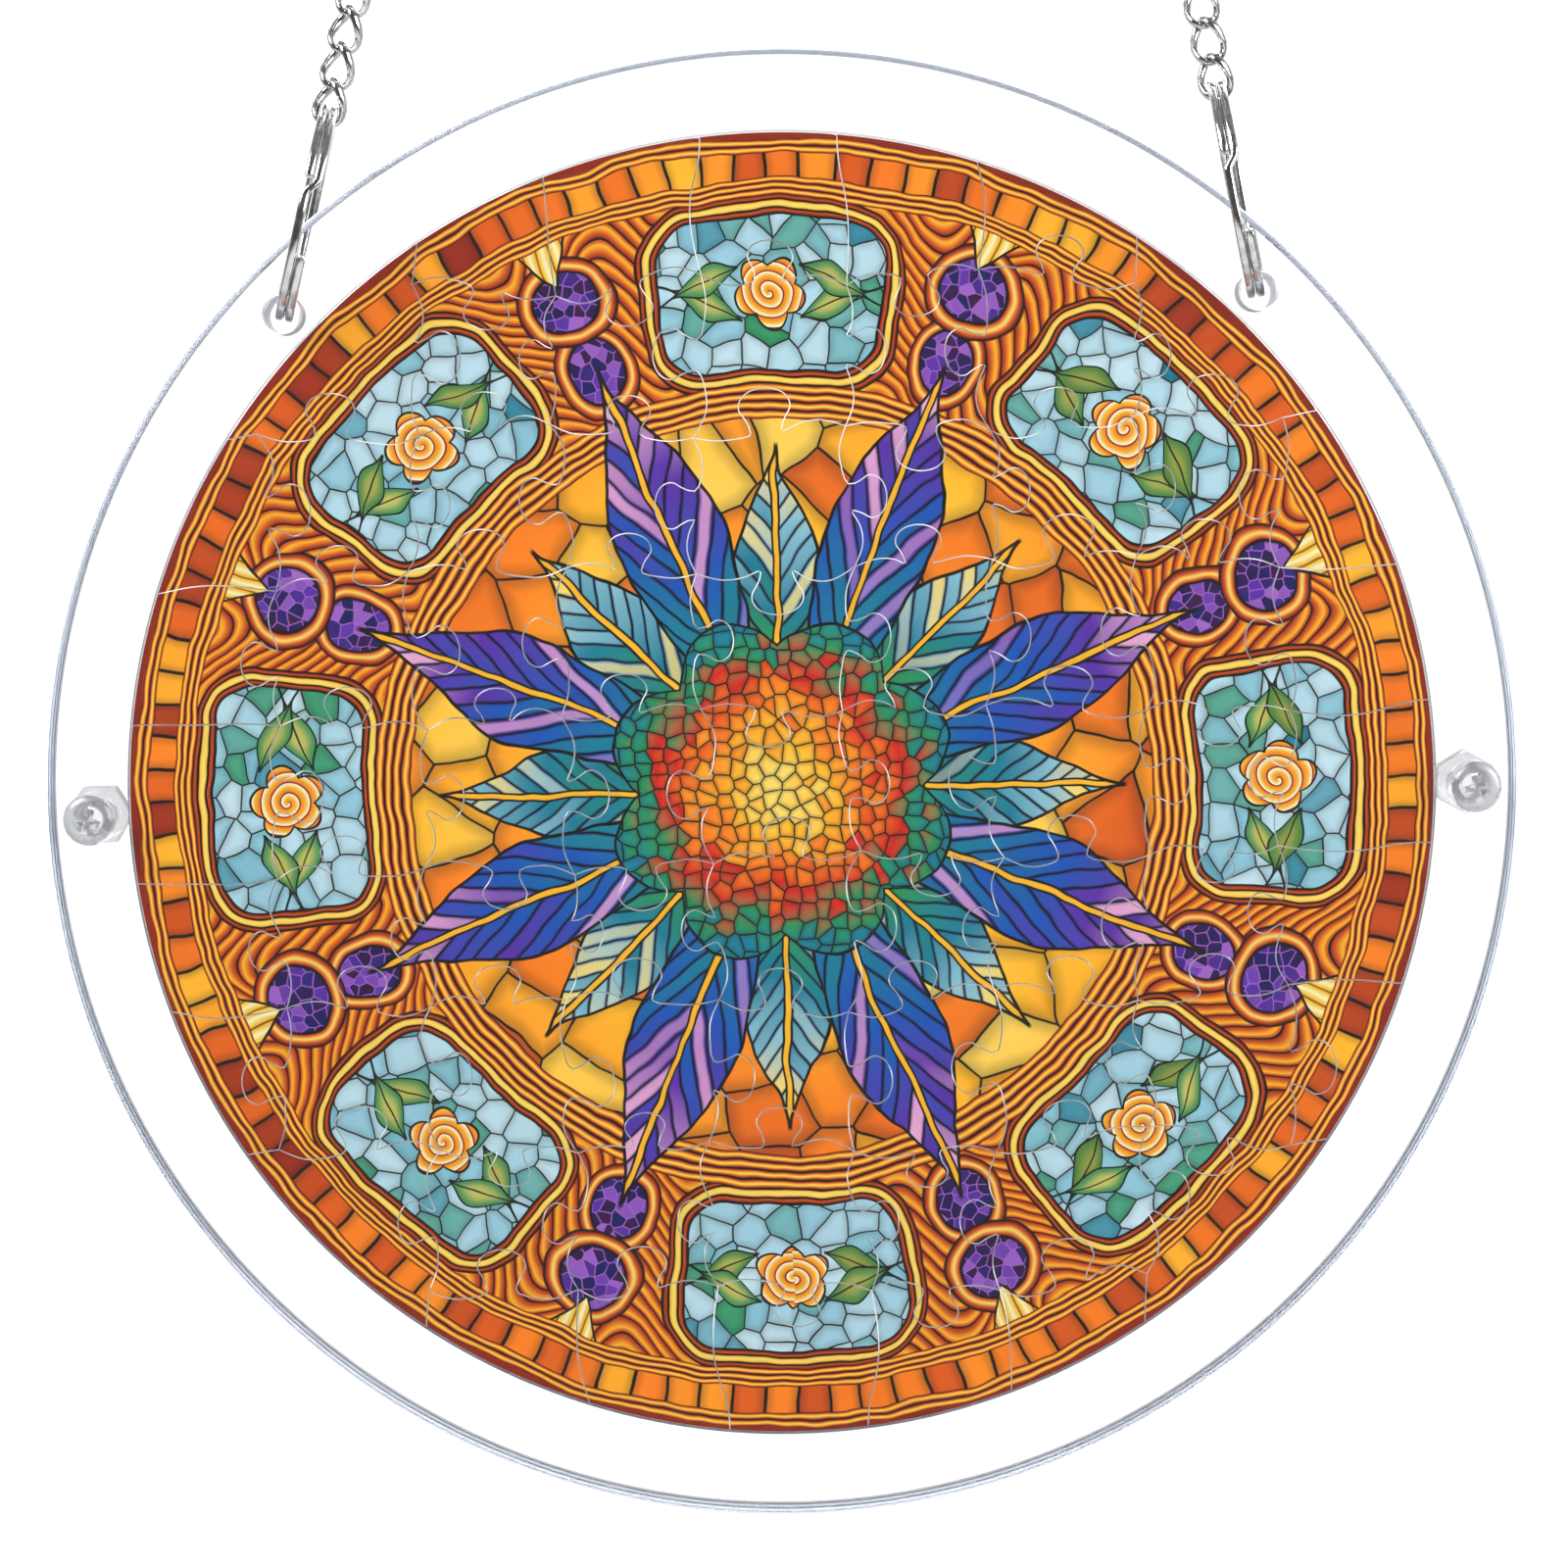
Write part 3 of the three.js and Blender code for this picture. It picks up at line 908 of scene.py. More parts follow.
@dataclass(frozen=True)
class Layout:
    """Sizes and places that the pieces share, in millimetres and in the frame.

    Attributes:
        disc_radius: Outer radius of the disc.
        opening_radius: Inner radius of the spacer ring.
        puzzle_radius: Radius of the jigsaw.
        sheet: Thickness of each acrylic layer.
        puzzle_thickness: Thickness of the jigsaw.
        hole_radius: Radius of a hanging hole.
        hole_reach: Distance of a hanging hole from the disc's centre.
        hole_angle: Degrees of a hanging hole from the disc's top.
        bore_radius: Radius of a screw's bore.
        screw_reach: Distance of a screw from the disc's centre.
        screw_angle: Degrees of a screw from the disc's top.
        hanging_reach: Distance of the hanging ring's centre below the origin.
        drop: Distance from there down to the disc's centre.
        turn: Degrees that the disc is turned, its right side up.
    """

    disc_radius: float = 100.0
    opening_radius: float = 89.25
    puzzle_radius: float = 89.0
    sheet: float = 3.0
    puzzle_thickness: float = 2.8
    hole_radius: float = 2.5
    hole_reach: float = 93.325
    hole_angle: float = 45.0
    bore_radius: float = 2.25
    screw_reach: float = 94.025
    screw_angle: float = 91.0
    hanging_reach: float = 8.5
    drop: float = 376.32
    turn: float = 1.830

    def disc(self) -> Matrix:
        """Place of the disc's centre."""
        down = Matrix.Translation((0.0, 0.0, -self.hanging_reach - self.drop))
        return down @ Matrix.Rotation(-math.radians(self.turn), 4, "Y")

    def on_face(self, reach: float, degrees: float, side: int) -> Vector:
        """A point of the disc's middle plane, by its distance and its angle from the top."""
        angle = math.radians(degrees)
        return Vector((side * reach * math.sin(angle), 0.0, reach * math.cos(angle)))

    def hole(self, side: int) -> Vector:
        """Centre of a hanging hole on the disc."""
        return self.on_face(self.hole_reach, self.hole_angle, side)

    def screw(self, side: int) -> Vector:
        """Centre of a screw on the disc."""
        return self.on_face(self.screw_reach, self.screw_angle, side)

    def openings(self) -> list[tuple[Vector, float]]:
        """Centre and radius of every round opening in a layer."""
        kinds = (self.hole, self.hole_radius), (self.screw, self.bore_radius)
        return [(centre(side), radius) for side in (-1, 1) for centre, radius in kinds]

    def line(self, side: int) -> tuple[Matrix, float]:
        """The straight line from a hanging hole's centre to the hanging ring's.

        Args:
            side: -1 for the left and 1 for the right.

        Returns:
            A place whose Z runs up the line from the hole, and the line's length.
        """
        hole = self.disc() @ self.hole(side)
        run = Vector((0.0, 0.0, -self.hanging_reach)) - hole
        return Matrix.Translation(hole) @ Matrix.Rotation(math.atan2(run.x, run.z), 4, "Y"), run.length


LAYOUT = Layout()
SIDES = {"left": -1, "right": 1}


@dataclass(frozen=True)
class Disc:
    """The three clear layers: front plate, spacer ring and back plate.

    Attributes:
        chamfer: Width of the flame-polished edge.
        parting: Gap between two layers.
        flare: Width of a hole's flared mouth.
        past: How far a cutter stands out of a layer.
        sides: Steps round the disc.
        bore_sides: Steps round a hole.
        across: Share of a normal along Y below which a face counts as a wall.
        near: Distance from a hole's edge within which a face belongs to the hole.
        margin: Distance from the disc's edge within which a face belongs to the rim.
    """

    chamfer: float = 0.22
    parting: float = 0.02
    flare: float = 0.18
    past: float = 1.0
    sides: int = 256
    bore_sides: int = 48
    across: float = 0.9
    near: float = 0.3
    margin: float = 1.0

    def blank(self, name: str, inner: float, low: float, high: float) -> Mesh:
        """A round layer: a chamfered profile turned about Y, closed on the axis or round an opening.

        Args:
            name: Its name.
            inner: Radius of its opening, or 0.
            low: Its front face.
            high: Its back face.

        Returns:
            The mesh.
        """
        outer, slope = LAYOUT.disc_radius, self.chamfer
        front = (inner, low), (outer - slope, low), (outer, low + slope)
        profile = (*front, (outer, high - slope), (outer - slope, high), (inner, high))
        return mesh_of(name, revolve(profile, self.sides), grid_faces(len(profile), self.sides, inner > 0))

    def cutters(self, low: float, high: float) -> list[Mesh]:
        """Round cutters for the four holes of a layer, flared at both faces.

        Args:
            low: The layer's front face.
            high: Its back face.

        Returns:
            The cutters.
        """
        made, front, back = [], low - self.past, high + self.past
        for centre, radius in LAYOUT.openings():
            mouth = radius + self.flare + self.past
            ends = (0.0, front), (mouth, front), (radius, low + self.flare)
            profile = (*ends, (radius, high - self.flare), (mouth, back), (0.0, back))
            points = revolve(profile, self.bore_sides) + np.array(centre)
            made.append(mesh_of("bore", points, grid_faces(len(profile), self.bore_sides)))
        return made

    def walls(self, centres: np.ndarray, facing: np.ndarray) -> np.ndarray:
        """Tell the walls of the holes and the outer edge from the rest.

        Args:
            centres: The faces' centres, on the disc.
            facing: How far they face along Y.

        Returns:
            1 for a wall of a hole, 2 for the outer edge and 0 elsewhere.
        """
        inside = np.zeros(len(centres), bool)
        for centre, _ in LAYOUT.openings():
            away = np.hypot(centres[:, 0] - centre.x, centres[:, 2] - centre.z)
            inside |= away < LAYOUT.hole_radius + self.near
        edge = np.hypot(centres[:, 0], centres[:, 2]) > LAYOUT.disc_radius - self.margin
        return (facing < self.across) * np.where(inside, 1, np.where(edge, 2, 0))

    def build(self) -> None:
        """Make the three layers."""
        half, gap = LAYOUT.sheet / 2, self.parting / 2
        finishes = [finish.make() for finish in (CLEAR, BORE, RIM)]
        for node, inner, low, high in (
            ("front_plate", 0.0, -3 * half, -half - gap),
            ("spacer_ring", LAYOUT.opening_radius, -half + gap, half - gap),
            ("back_plate", 0.0, half + gap, 3 * half),
        ):
            mesh = cut_out(self.blank(node, inner, low, high), self.cutters(low, high))
            piece = finish_piece("clear_" + node, node, mesh, finishes, choose=self.walls)
            piece.data.transform(in_metres(LAYOUT.disc()))


@dataclass(frozen=True)
class Jigsaw:
    """The printed picture, cut into interlocking pieces with wandering edges.

    Attributes:
        pitch: Distance between two cuts.
        cells: Cells on each side of the square that the cuts divide.
        reach: Half of that square's side.
        wander: How far a crossing of cuts may stray.
        calm_rim: Width of the rim from which crossings stray less.
        calm: Share of its straying that such a crossing keeps.
        plain_rim: Width of the rim where cuts have no knob.
        plain_length: Share of the pitch above which a cut has no knob.
        smallest: Share of a cell below which a piece joins its neighbour.
        kerf: Width of a cut.
        lip: Width of the bare edge along a cut.
        lip_depth: Depth of that edge.
        step: Distance between two points of a cut.
        rim_step: Distance between two points of the rim.
        rounds: How many times a cut's corners are cut away.
        knob: Half of a knob's outline up to its top, as shares of a cut's length along and across it.
        knob_size: Smallest and largest scale of a knob.
        knob_slide: How far a knob may slide along its cut, as a share of the cut's length.
        sway: Smallest and largest share of its length that a cut strays beside a knob.
        seed: Seed of the random choices.
    """

    pitch: float = 19.7
    cells: int = 9
    reach: float = 96.0
    wander: float = 1.5
    calm_rim: float = 4.0
    calm: float = 0.3
    plain_rim: float = 9.0
    plain_length: float = 1.6
    smallest: float = 0.42
    kerf: float = 0.11
    lip: float = 0.035
    lip_depth: float = 0.05
    step: float = 0.45
    rim_step: float = 0.9
    rounds: int = 3
    knob: tuple[tuple[float, float], ...] = (
        (0.41, -0.02),
        (0.37, 0.09),
        (0.31, 0.17),
        (0.36, 0.27),
        (0.5, 0.31),
    )
    knob_size: tuple[float, float] = (0.82, 1.0)
    knob_slide: float = 0.05
    sway: tuple[float, float] = (0.035, 0.09)
    seed: int = 12

    def crossings(self) -> np.ndarray:
        """Points where cuts cross, on a grid that strays a little, and less outside the picture.

        Returns:
            Their x and z, by row and column.
        """
        lines = (np.arange(self.cells + 1) - self.cells / 2) * self.pitch
        lines[[0, -1]] = (-self.reach, self.reach)
        x, z = np.meshgrid(lines, lines, indexing="ij")
        stray = np.random.default_rng(self.seed).uniform(-self.wander, self.wander, (*x.shape, 2))
        stray[np.hypot(x, z) > LAYOUT.puzzle_radius - self.calm_rim] *= self.calm
        return np.stack((x, z), axis=-1) + stray

    def edge(self, start: np.ndarray, end: np.ndarray, rng: np.random.Generator) -> np.ndarray:
        """One cut between two crossings: an S with a knob, its corners cut away.

        A point is start + t (end - start) + h n, where n is across the edge and t and h come from a
        short list of shares of the edge's length.

        Args:
            start: First crossing.
            end: Last crossing.
            rng: Source of the random choices.

        Returns:
            Points from start to end.
        """
        side = rng.choice((-1.0, 1.0))
        size = rng.uniform(*self.knob_size)
        slide = rng.uniform(-self.knob_slide, self.knob_slide)
        first, last = rng.uniform(*self.sway, 2) * rng.choice((-1.0, 1.0), 2)
        along = end - start
        plain = np.hypot(*(start + end) / 2) > LAYOUT.puzzle_radius - self.plain_rim
        if plain or np.hypot(*along) > self.plain_length * self.pitch:
            shares = [(0, 0), (0.2, first / 2), (0.4, first / 2), (0.6, last / 2), (0.8, last / 2), (1, 0)]
            t, h = np.array(shares).T
        else:
            t, h = np.array(self.knob).T
            t, h = np.append(t, 1.0 - t[-2::-1]), np.append(h, h[-2::-1])
            t, h = 0.5 + (t - 0.5) * size + slide, h * size
            t = np.concatenate(((0, 0.15, 0.3), t, (0.7, 0.85, 1)))
            h = np.concatenate(((0, first, 0.8 * first), h, (0.8 * last, last, 0)))
        across = np.array((-along[1], along[0])) * side
        points = start + t[:, None] * along + h[:, None] * across
        for _ in range(self.rounds):
            near, far = (share * points[:-1] + (1 - share) * points[1:] for share in (0.75, 0.25))
            inner = np.stack((near, far), axis=1).reshape(-1, 2)
            points = np.concatenate((points[:1], inner[1:-1], points[-1:]))
        run = np.append(0.0, np.cumsum(np.linalg.norm(np.diff(points, axis=0), axis=1)))
        even = np.linspace(0.0, run[-1], int(run[-1] / self.step))
        return np.stack([np.interp(even, run, axis) for axis in points.T], axis=-1)

    def outlines(self) -> list[np.ndarray]:
        """Outline of every piece: the loop of cuts round a cell, trimmed by the picture's rim.

        A cell that the rim leaves too small joins its neighbour nearer the middle.

        Returns:
            Closed outlines, counter-clockwise.
        """
        rng = np.random.default_rng(self.seed + 1)
        points, count, cuts = self.crossings(), self.cells, {}
        for i, j in np.ndindex(count + 1, count + 1):
            for beyond in ((i + 1, j), (i, j + 1)):
                if max(beyond) <= count:
                    cuts[(i, j), beyond] = self.edge(points[i, j], points[beyond], rng)
        cuts |= {(end, start): cut[::-1] for (start, end), cut in cuts.items()}

        pieces: dict[tuple[int, int], list[tuple[int, int]]] = {}
        for cell in np.ndindex(count, count):
            trimmed = self.trim(self.join([cell], cuts))
            if trimmed is None:
                continue
            target = list(cell)
            if area_of(trimmed) < self.smallest * self.pitch**2:
                off = np.array(cell) - (count - 1) / 2
                axis = int(abs(off[0]) < abs(off[1]))
                target[axis] -= int(np.sign(off[axis]))
            pieces.setdefault(tuple(target), []).append(cell)
        return [self.trim(self.join(cells, cuts)) for cells in pieces.values()]

    def join(self, cells: Sequence[tuple[int, int]], cuts: dict) -> np.ndarray:
        """Outline of a group of cells, without the cuts between them.

        Args:
            cells: The cells.
            cuts: Points of each cut, by its two ends.

        Returns:
            The outline, counter-clockwise.
        """
        steps = set()
        for i, j in cells:
            ring = ((i, j), (i + 1, j), (i + 1, j + 1), (i, j + 1), (i, j))
            steps |= set(zip(ring[:-1], ring[1:]))
        follow = {a: b for a, b in steps if (b, a) not in steps}
        at = first = min(follow)
        parts = []
        while not parts or at != first:
            parts.append(cuts[at, follow[at]][:-1])
            at = follow[at]
        return np.concatenate(parts)

    def trim(self, outline: np.ndarray) -> np.ndarray | None:
        """Replace what lies outside the picture by arcs of its rim.

        Args:
            outline: A closed outline.

        Returns:
            The trimmed outline, or nothing if all of it lies outside.
        """
        rim = LAYOUT.puzzle_radius
        reach = np.hypot(*outline.T)
        inside = reach < rim
        if inside.all():
            return outline
        if not inside.any():
            return None
        first = int(np.argmax(inside & ~np.roll(inside, 1)))
        outline, reach, inside = (np.roll(a, -first, axis=0) for a in (outline, reach, inside))
        turns = np.flatnonzero(np.diff(np.append(inside, True).astype(int)))
        parts, begin = [], 0
        for leave, back in zip(turns[::2], turns[1::2]):
            ends = []
            for a, b in ((leave, leave + 1), (back, (back + 1) % len(outline))):
                share = (rim - reach[a]) / (reach[b] - reach[a])
                cross = outline[a] + share * (outline[b] - outline[a])
                ends.append(math.atan2(cross[1], cross[0]))
            sweep = (ends[1] - ends[0] + math.pi) % TURN - math.pi
            count = max(2, int(abs(sweep) * rim / self.rim_step) + 1)
            angles = ends[0] + np.linspace(0.0, 1.0, count) * sweep
            parts += [outline[begin : leave + 1], rim * np.stack((np.cos(angles), np.sin(angles)), axis=-1)]
            begin = back + 1
        parts.append(outline[begin:])
        return np.concatenate(parts)

    def inset(self, outline: np.ndarray, depth: float) -> np.ndarray:
        """Move each point inwards, square to the line between its neighbours.

        Args:
            outline: A closed outline, counter-clockwise.
            depth: How far its points move.

        Returns:
            The moved outline.
        """
        along = np.roll(outline, -1, axis=0) - np.roll(outline, 1, axis=0)
        inward = np.stack((-along[:, 1], along[:, 0]), axis=-1)
        return outline + depth * inward / np.linalg.norm(inward, axis=1, keepdims=True)

    def build(self) -> None:
        """Make all pieces of the jigsaw as one object, each a prism with a narrow lip at both faces."""
        half, wall = LAYOUT.puzzle_thickness / 2, self.kerf / 2
        depths = (wall + self.lip, wall, wall, wall + self.lip)
        heights = (-half, self.lip_depth - half, half - self.lip_depth, half)
        points, faces, total = [], [], 0
        outlines = self.outlines()
        for outline in map(tidy_outline, outlines):
            more, sides = layered([self.inset(outline, depth) for depth in depths], heights)
            points.append(more)
            faces += [[corner + total for corner in side] for side in sides]
            total += len(more)
        mesh = mesh_of("puzzle", placed(np.concatenate(points), LAYOUT.disc()), faces)
        LOG.info("puzzle: %d pieces", len(outlines))
        materials = (StainedGlassPrint.make(LAYOUT.disc()), KERF.make())

        def walls(_: np.ndarray, facing: np.ndarray) -> np.ndarray:
            """1 for a wall of a cut and 0 for a printed face."""
            return facing < SQUARE

        finish_piece("jigsaw_pieces", "puzzle", mesh, materials, choose=walls)


def area_of(outline: np.ndarray) -> float:
    """Area inside an outline, by the shoelace formula."""
    x, y = outline.T
    return 0.5 * abs(float(np.dot(x, np.roll(y, -1)) - np.dot(y, np.roll(x, -1))))


def tidy_outline(outline: np.ndarray, least: float = 0.15, room: float = 0.5) -> np.ndarray:
    """Thin an outline out, so that it can be moved inwards without crossing itself.

    Args:
        outline: A closed outline.
        least: Smallest distance between two points.
        room: Distance round a sharp corner where no other point stays.

    Returns:
        The outline with the points that stay.
    """
    outline = outline[np.linalg.norm(outline - np.roll(outline, 1, axis=0), axis=1) > least]
    after, before = np.roll(outline, -1, axis=0) - outline, outline - np.roll(outline, 1, axis=0)
    cross = before[:, 0] * after[:, 1] - before[:, 1] * after[:, 0]
    corner = np.abs(np.arctan2(cross, (before * after).sum(axis=1))) > SHARP_TURN
    away = np.linalg.norm(outline[:, None] - outline[corner][None], axis=2).min(axis=1, initial=np.inf)
    return outline[corner | (away > room)]


@dataclass(frozen=True)
class Fixing:
    """A pan-head screw and its nut, on one side of the disc.

    Attributes:
        side: Name of the side.
        screw_turn: Degrees that the screw is turned.
        nut_turn: Degrees that the nut is turned.
        head_radius: Radius of the head.
        head_height: Height of the head.
        dome: Height of the head's rounding.
        crown: Share of the head's radius that is flat.
        shank_radius: Outer radius of the thread.
        thread_pitch: Distance between two turns of the thread.
        thread_depth: Depth of the thread.
        thread_rows: Steps along the thread.
        screw_sides: Steps round the screw.
        nut_height: Height of the nut.
        nut_flat: Distance from the nut's axis to a flat.
        nut_sides: Steps round the nut.
        nut_mouth: Width of the chamfer of the nut's bore.
        nut_play: Gap between the thread and the nut's bore.
        tip: How far the screw stands out of the nut.
        seat: Gap between the sheet and what is clamped on it.
    """

    side: str
    screw_turn: float
    nut_turn: float
    head_radius: float = 3.5
    head_height: float = 2.6
    dome: float = 1.15
    crown: float = 0.66
    shank_radius: float = 2.0
    thread_pitch: float = 0.7
    thread_depth: float = 0.28
    thread_rows: int = 150
    screw_sides: int = 28
    nut_height: float = 3.2
    nut_flat: float = 3.8
    nut_sides: int = 72
    nut_mouth: float = 0.35
    nut_play: float = 0.02
    tip: float = 1.2
    seat: float = 0.03

    def place(self, degrees: float) -> Matrix:
        """Where the screw stands, turned about its own axis."""
        at = Matrix.Translation(LAYOUT.screw(SIDES[self.side]))
        return LAYOUT.disc() @ at @ Matrix.Rotation(math.radians(degrees), 4, "Y")

    def screw(self) -> Mesh:
        """The screw: a domed head and a thread whose radius falls and rises along a helix.

        The shank's radius at height y and angle a is R - d w, where w is a wave of the height less
        the angle's share of the pitch.

        Returns:
            The mesh, in its place.
        """
        head, shank = self.head_radius, self.shank_radius
        face = 1.5 * LAYOUT.sheet
        front, under, end = -face - self.head_height, -face - self.seat, face + self.nut_height + self.tip
        round_off = np.linspace(0.0, math.pi / 2, 7)
        profile = [(0.0, front)]
        rise = self.dome * (1 - np.cos(round_off))
        profile += zip(head * (self.crown + (1 - self.crown) * np.sin(round_off)), front + rise)
        profile += [(head, under - 0.2), (head - 0.15, under), (shank, under)]
        heights = np.linspace(under, end - 0.5, self.thread_rows)[1:]
        profile += [(shank, y) for y in heights] + [(shank - 0.5, end), (0.0, end)]

        def reach(radius: np.ndarray, height: np.ndarray, around: np.ndarray) -> np.ndarray:
            """Lower the profile's radius by the thread's wave along the shank.

            Args:
                radius: Radius of the profile.
                height: Its height.
                around: The angle.

            Returns:
                The radius there.
            """
            wave = 0.5 - 0.5 * np.cos(TURN * (height / self.thread_pitch) - around)
            threaded = (height >= heights[0]) & (height < heights[-1])
            return radius - np.where(threaded, self.thread_depth * wave, 0.0)

        points = revolve(profile, self.screw_sides, reach)
        blank = mesh_of("screw", points, grid_faces(len(profile), self.screw_sides))
        cut = cut_out(blank, [self.recess(front)])
        cut.transform(in_metres(self.place(self.screw_turn)))
        return cut

    def recess(self, front: float, arm: float = 1.9, width: float = 0.45) -> Mesh:
        """Cutter for the cross recess: a cross-shaped outline that narrows with depth.

        Args:
            front: Height of the head's face.
            arm: Length of the cross's arms.
            width: Half of their width.

        Returns:
            The cutter.
        """
        x, z = np.array(((arm, -width), (arm, width), (width, width))).T
        cross = np.concatenate([np.stack(pair, axis=-1) for pair in ((x, z), (-z, x), (-x, -z), (z, -x))])
        rings = [cross * share for share in (1.15, 1.0, 0.62, 0.3)]
        return mesh_of("recess", *layered(rings, (front - 0.6, front, front + 1.1, front + 1.5)))

    def nut(self) -> Mesh:
        """The nut: a profile carried round the bore, held to a hexagon.

        The hexagon's radius at angle a is f / cos(a mod 60 - 30), and the outer rows are chamfered
        by circles a little smaller than its corners.

        Returns:
            The mesh, in its place.
        """
        low = 1.5 * LAYOUT.sheet + self.seat
        high = low + self.nut_height
        bore, corner = self.shank_radius + self.nut_play, self.nut_flat / math.cos(math.pi / 6)
        mouth = self.nut_mouth
        # Share of the corners' radius that a row reaches, and its distance from the nut's end
        outer = [(0.93, 0.0), (0.99, 0.12), (2.0, 0.45)]
        profile = [(bore + mouth, low)] + [(share * corner, low + rise) for share, rise in outer]
        profile += [(share * corner, high - rise) for share, rise in outer[::-1]]
        profile += [(bore + mouth, high), (bore, high - mouth), (bore, low + mouth)]

        def reach(radius: np.ndarray, _: np.ndarray, around: np.ndarray) -> np.ndarray:
            """Radius of the profile, no larger than the hexagon's."""
            return np.minimum(radius, self.nut_flat / np.cos(around % (math.pi / 3) - math.pi / 6))

        points = placed(revolve(profile, self.nut_sides, reach), self.place(self.nut_turn))
        return mesh_of("nut", points, grid_faces(len(profile), self.nut_sides, close_rows=True))

    def build(self, nylon: Material) -> None:
        """Make the screw and the nut in their finish.

        Args:
            nylon: The finish.
        """
        for node, mesh, sharp in (("screw", self.screw(), 40.0), ("nut", self.nut(), 24.0)):
            node = f"{node}_{self.side}"
            finish_piece("nylon_" + node, node, mesh, (nylon,), sharp)


@dataclass(frozen=True)
class Suspension:
    """Split ring and chain on one side, along the line from the hole to the hanging ring.

    Attributes:
        side: Name of the side.
        links: Links in the chain.
        roll: Degrees that the chain is turned about its own line.
        ring_reach: Distance of the split ring's centre from the hole's, up the line.
        ring_radius: Outer radius of the split ring.
        wire_depth: The ring's wire across the ring.
        wire_width: The ring's wire along its axis.
        turn_gap: Gap between the ring's two turns.
        yaw: Degrees that the ring's far side is turned outwards.
        begin: Degrees above the ring's foremost point where its wire begins.
        crank: Degrees above that point where the wire changes over.
        crank_run: Degrees that the change takes.
        ring_rows: Steps along the ring's wire.
        ring_section: Steps round it.
        link_wire: A link's wire in the link's plane.
        link_depth: A link's wire across that plane.
        link_half_width: Half of a link's width, to the middle of its wire.
        link_twist: Degrees from a link's lower end to its upper one.
        link_rows: Steps along a link's wire.
        link_section: Steps round it.
        low_play: Room between the first link and the split ring.
        high_play: Room between the last link and the hanging ring.
    """

    side: str
    links: int
    roll: float
    ring_reach: float = 14.16
    ring_radius: float = 15.0
    wire_depth: float = 1.6
    wire_width: float = 1.2
    turn_gap: float = 0.1
    yaw: float = 7.0
    begin: float = -26.0
    crank: float = 12.0
    crank_run: float = 9.0
    ring_rows: int = 280
    ring_section: int = 16
    link_wire: float = 1.0
    link_depth: float = 1.65
    link_half_width: float = 2.05
    link_twist: float = -108.0
    link_rows: int = 22
    link_section: int = 8
    low_play: float = 0.55
    high_play: float = 0.15

    def split_ring(self) -> Mesh:
        """Nearly two turns of wire round X.

        At travel s the wire stands at y = -R cos s and z = R sin s, and a smooth step takes it from
        the right turn to the left one at the crank. The section is a rounded box, and at either end
        it closes within a tenth of a millimetre.

        Returns:
            The mesh, in its place.
        """
        middle = self.ring_radius - self.wire_depth / 2
        shift = (self.wire_width + self.turn_gap) / 2
        change = self.crank + self.crank_run / 2
        start, end = math.radians(self.begin), math.radians(change + 1.0 - 720.0)
        # Distance and size of the sections that close an end
        cap, cap_scale = np.array((0.0, 0.0, 0.09)) / middle, np.array((0.0, 0.7, 0.9))
        run = np.linspace(start, end, self.ring_rows)[1:-1]
        travel = np.concatenate((start - cap, run, end + cap[::-1]))[:, None]
        scale = np.concatenate((cap_scale, np.ones(len(run)), cap_scale[::-1]))[:, None]
        past = np.clip((math.radians(change - 360.0) - travel) / math.radians(self.crank_run), 0.0, 1.0)
        x = shift - 2 * shift * (past * past * (3 - 2 * past))
        section, _ = superellipse((self.wire_width / 2, self.wire_depth / 2), 3.4, self.ring_section)
        reach = middle + section[:, 1] * scale
        x, y, z = x + section[:, 0] * scale, -reach * np.cos(travel), reach * np.sin(travel)
        side = SIDES[self.side]
        place = LAYOUT.line(side)[0] @ Matrix.Translation((0.0, 0.0, self.ring_reach))
        place = place @ Matrix.Rotation(-side * math.radians(self.yaw), 4, "Z")
        points = placed(np.stack((x, y, z), axis=-1).reshape(-1, 3), place)
        return mesh_of("split_ring", points, grid_faces(len(travel), self.ring_section))

    def chain(self) -> Mesh:
        """All links, each a loop of wire twisted about the line.

        A point of the loop at height z is turned about the line by the roll and by the twist times
        z over the loop's length. The links share the length between the split ring and the hanging
        ring, so that each just touches the next.

        Returns:
            The mesh, in its place.
        """
        place, length = LAYOUT.line(SIDES[self.side])
        low = self.ring_reach + self.ring_radius - self.wire_depth - self.low_play
        pitch = (length - LAYOUT.hanging_reach + self.high_play - low) / self.links
        half = (pitch + self.link_wire) / 2
        loop, outward = superellipse((self.link_half_width, half), 2.5, self.link_rows)
        around = np.arange(self.link_section) / self.link_section * TURN
        spot = loop[:, None] + self.link_wire / 2 * outward[:, None] * np.cos(around)[:, None]
        out, height = spot[..., 0], spot[..., 1]
        aside = self.link_depth / 2 * np.sin(around)
        twist = math.radians(self.roll) + math.radians(self.link_twist) * height / (2 * half)
        x, y = out * np.cos(twist) + aside * np.sin(twist), out * np.sin(twist) - aside * np.cos(twist)
        link_points = np.stack((x, y, height), axis=-1).reshape(-1, 3)
        number = np.arange(self.links)[:, None, None]
        points = (link_points + (low + pitch * (number + 0.5)) * np.array((0.0, 0.0, 1.0))).reshape(-1, 3)
        faces = grid_faces(self.link_rows, self.link_section, close_rows=True) + number * len(link_points)
        return mesh_of("chain", placed(points, place), faces.reshape(-1, 4), merge=False)

    def build(self, nickel: Material) -> None:
        """Make the split ring and the chain in their finish.

        Args:
            nickel: The finish.
        """
        ring, chain = f"split_ring_{self.side}", f"chain_{self.side}"
        finish_piece("wound_" + ring, ring, self.split_ring(), (nickel,), 50.0)
        finish_piece("curb_" + chain, chain, self.chain(), (nickel,), 80.0)


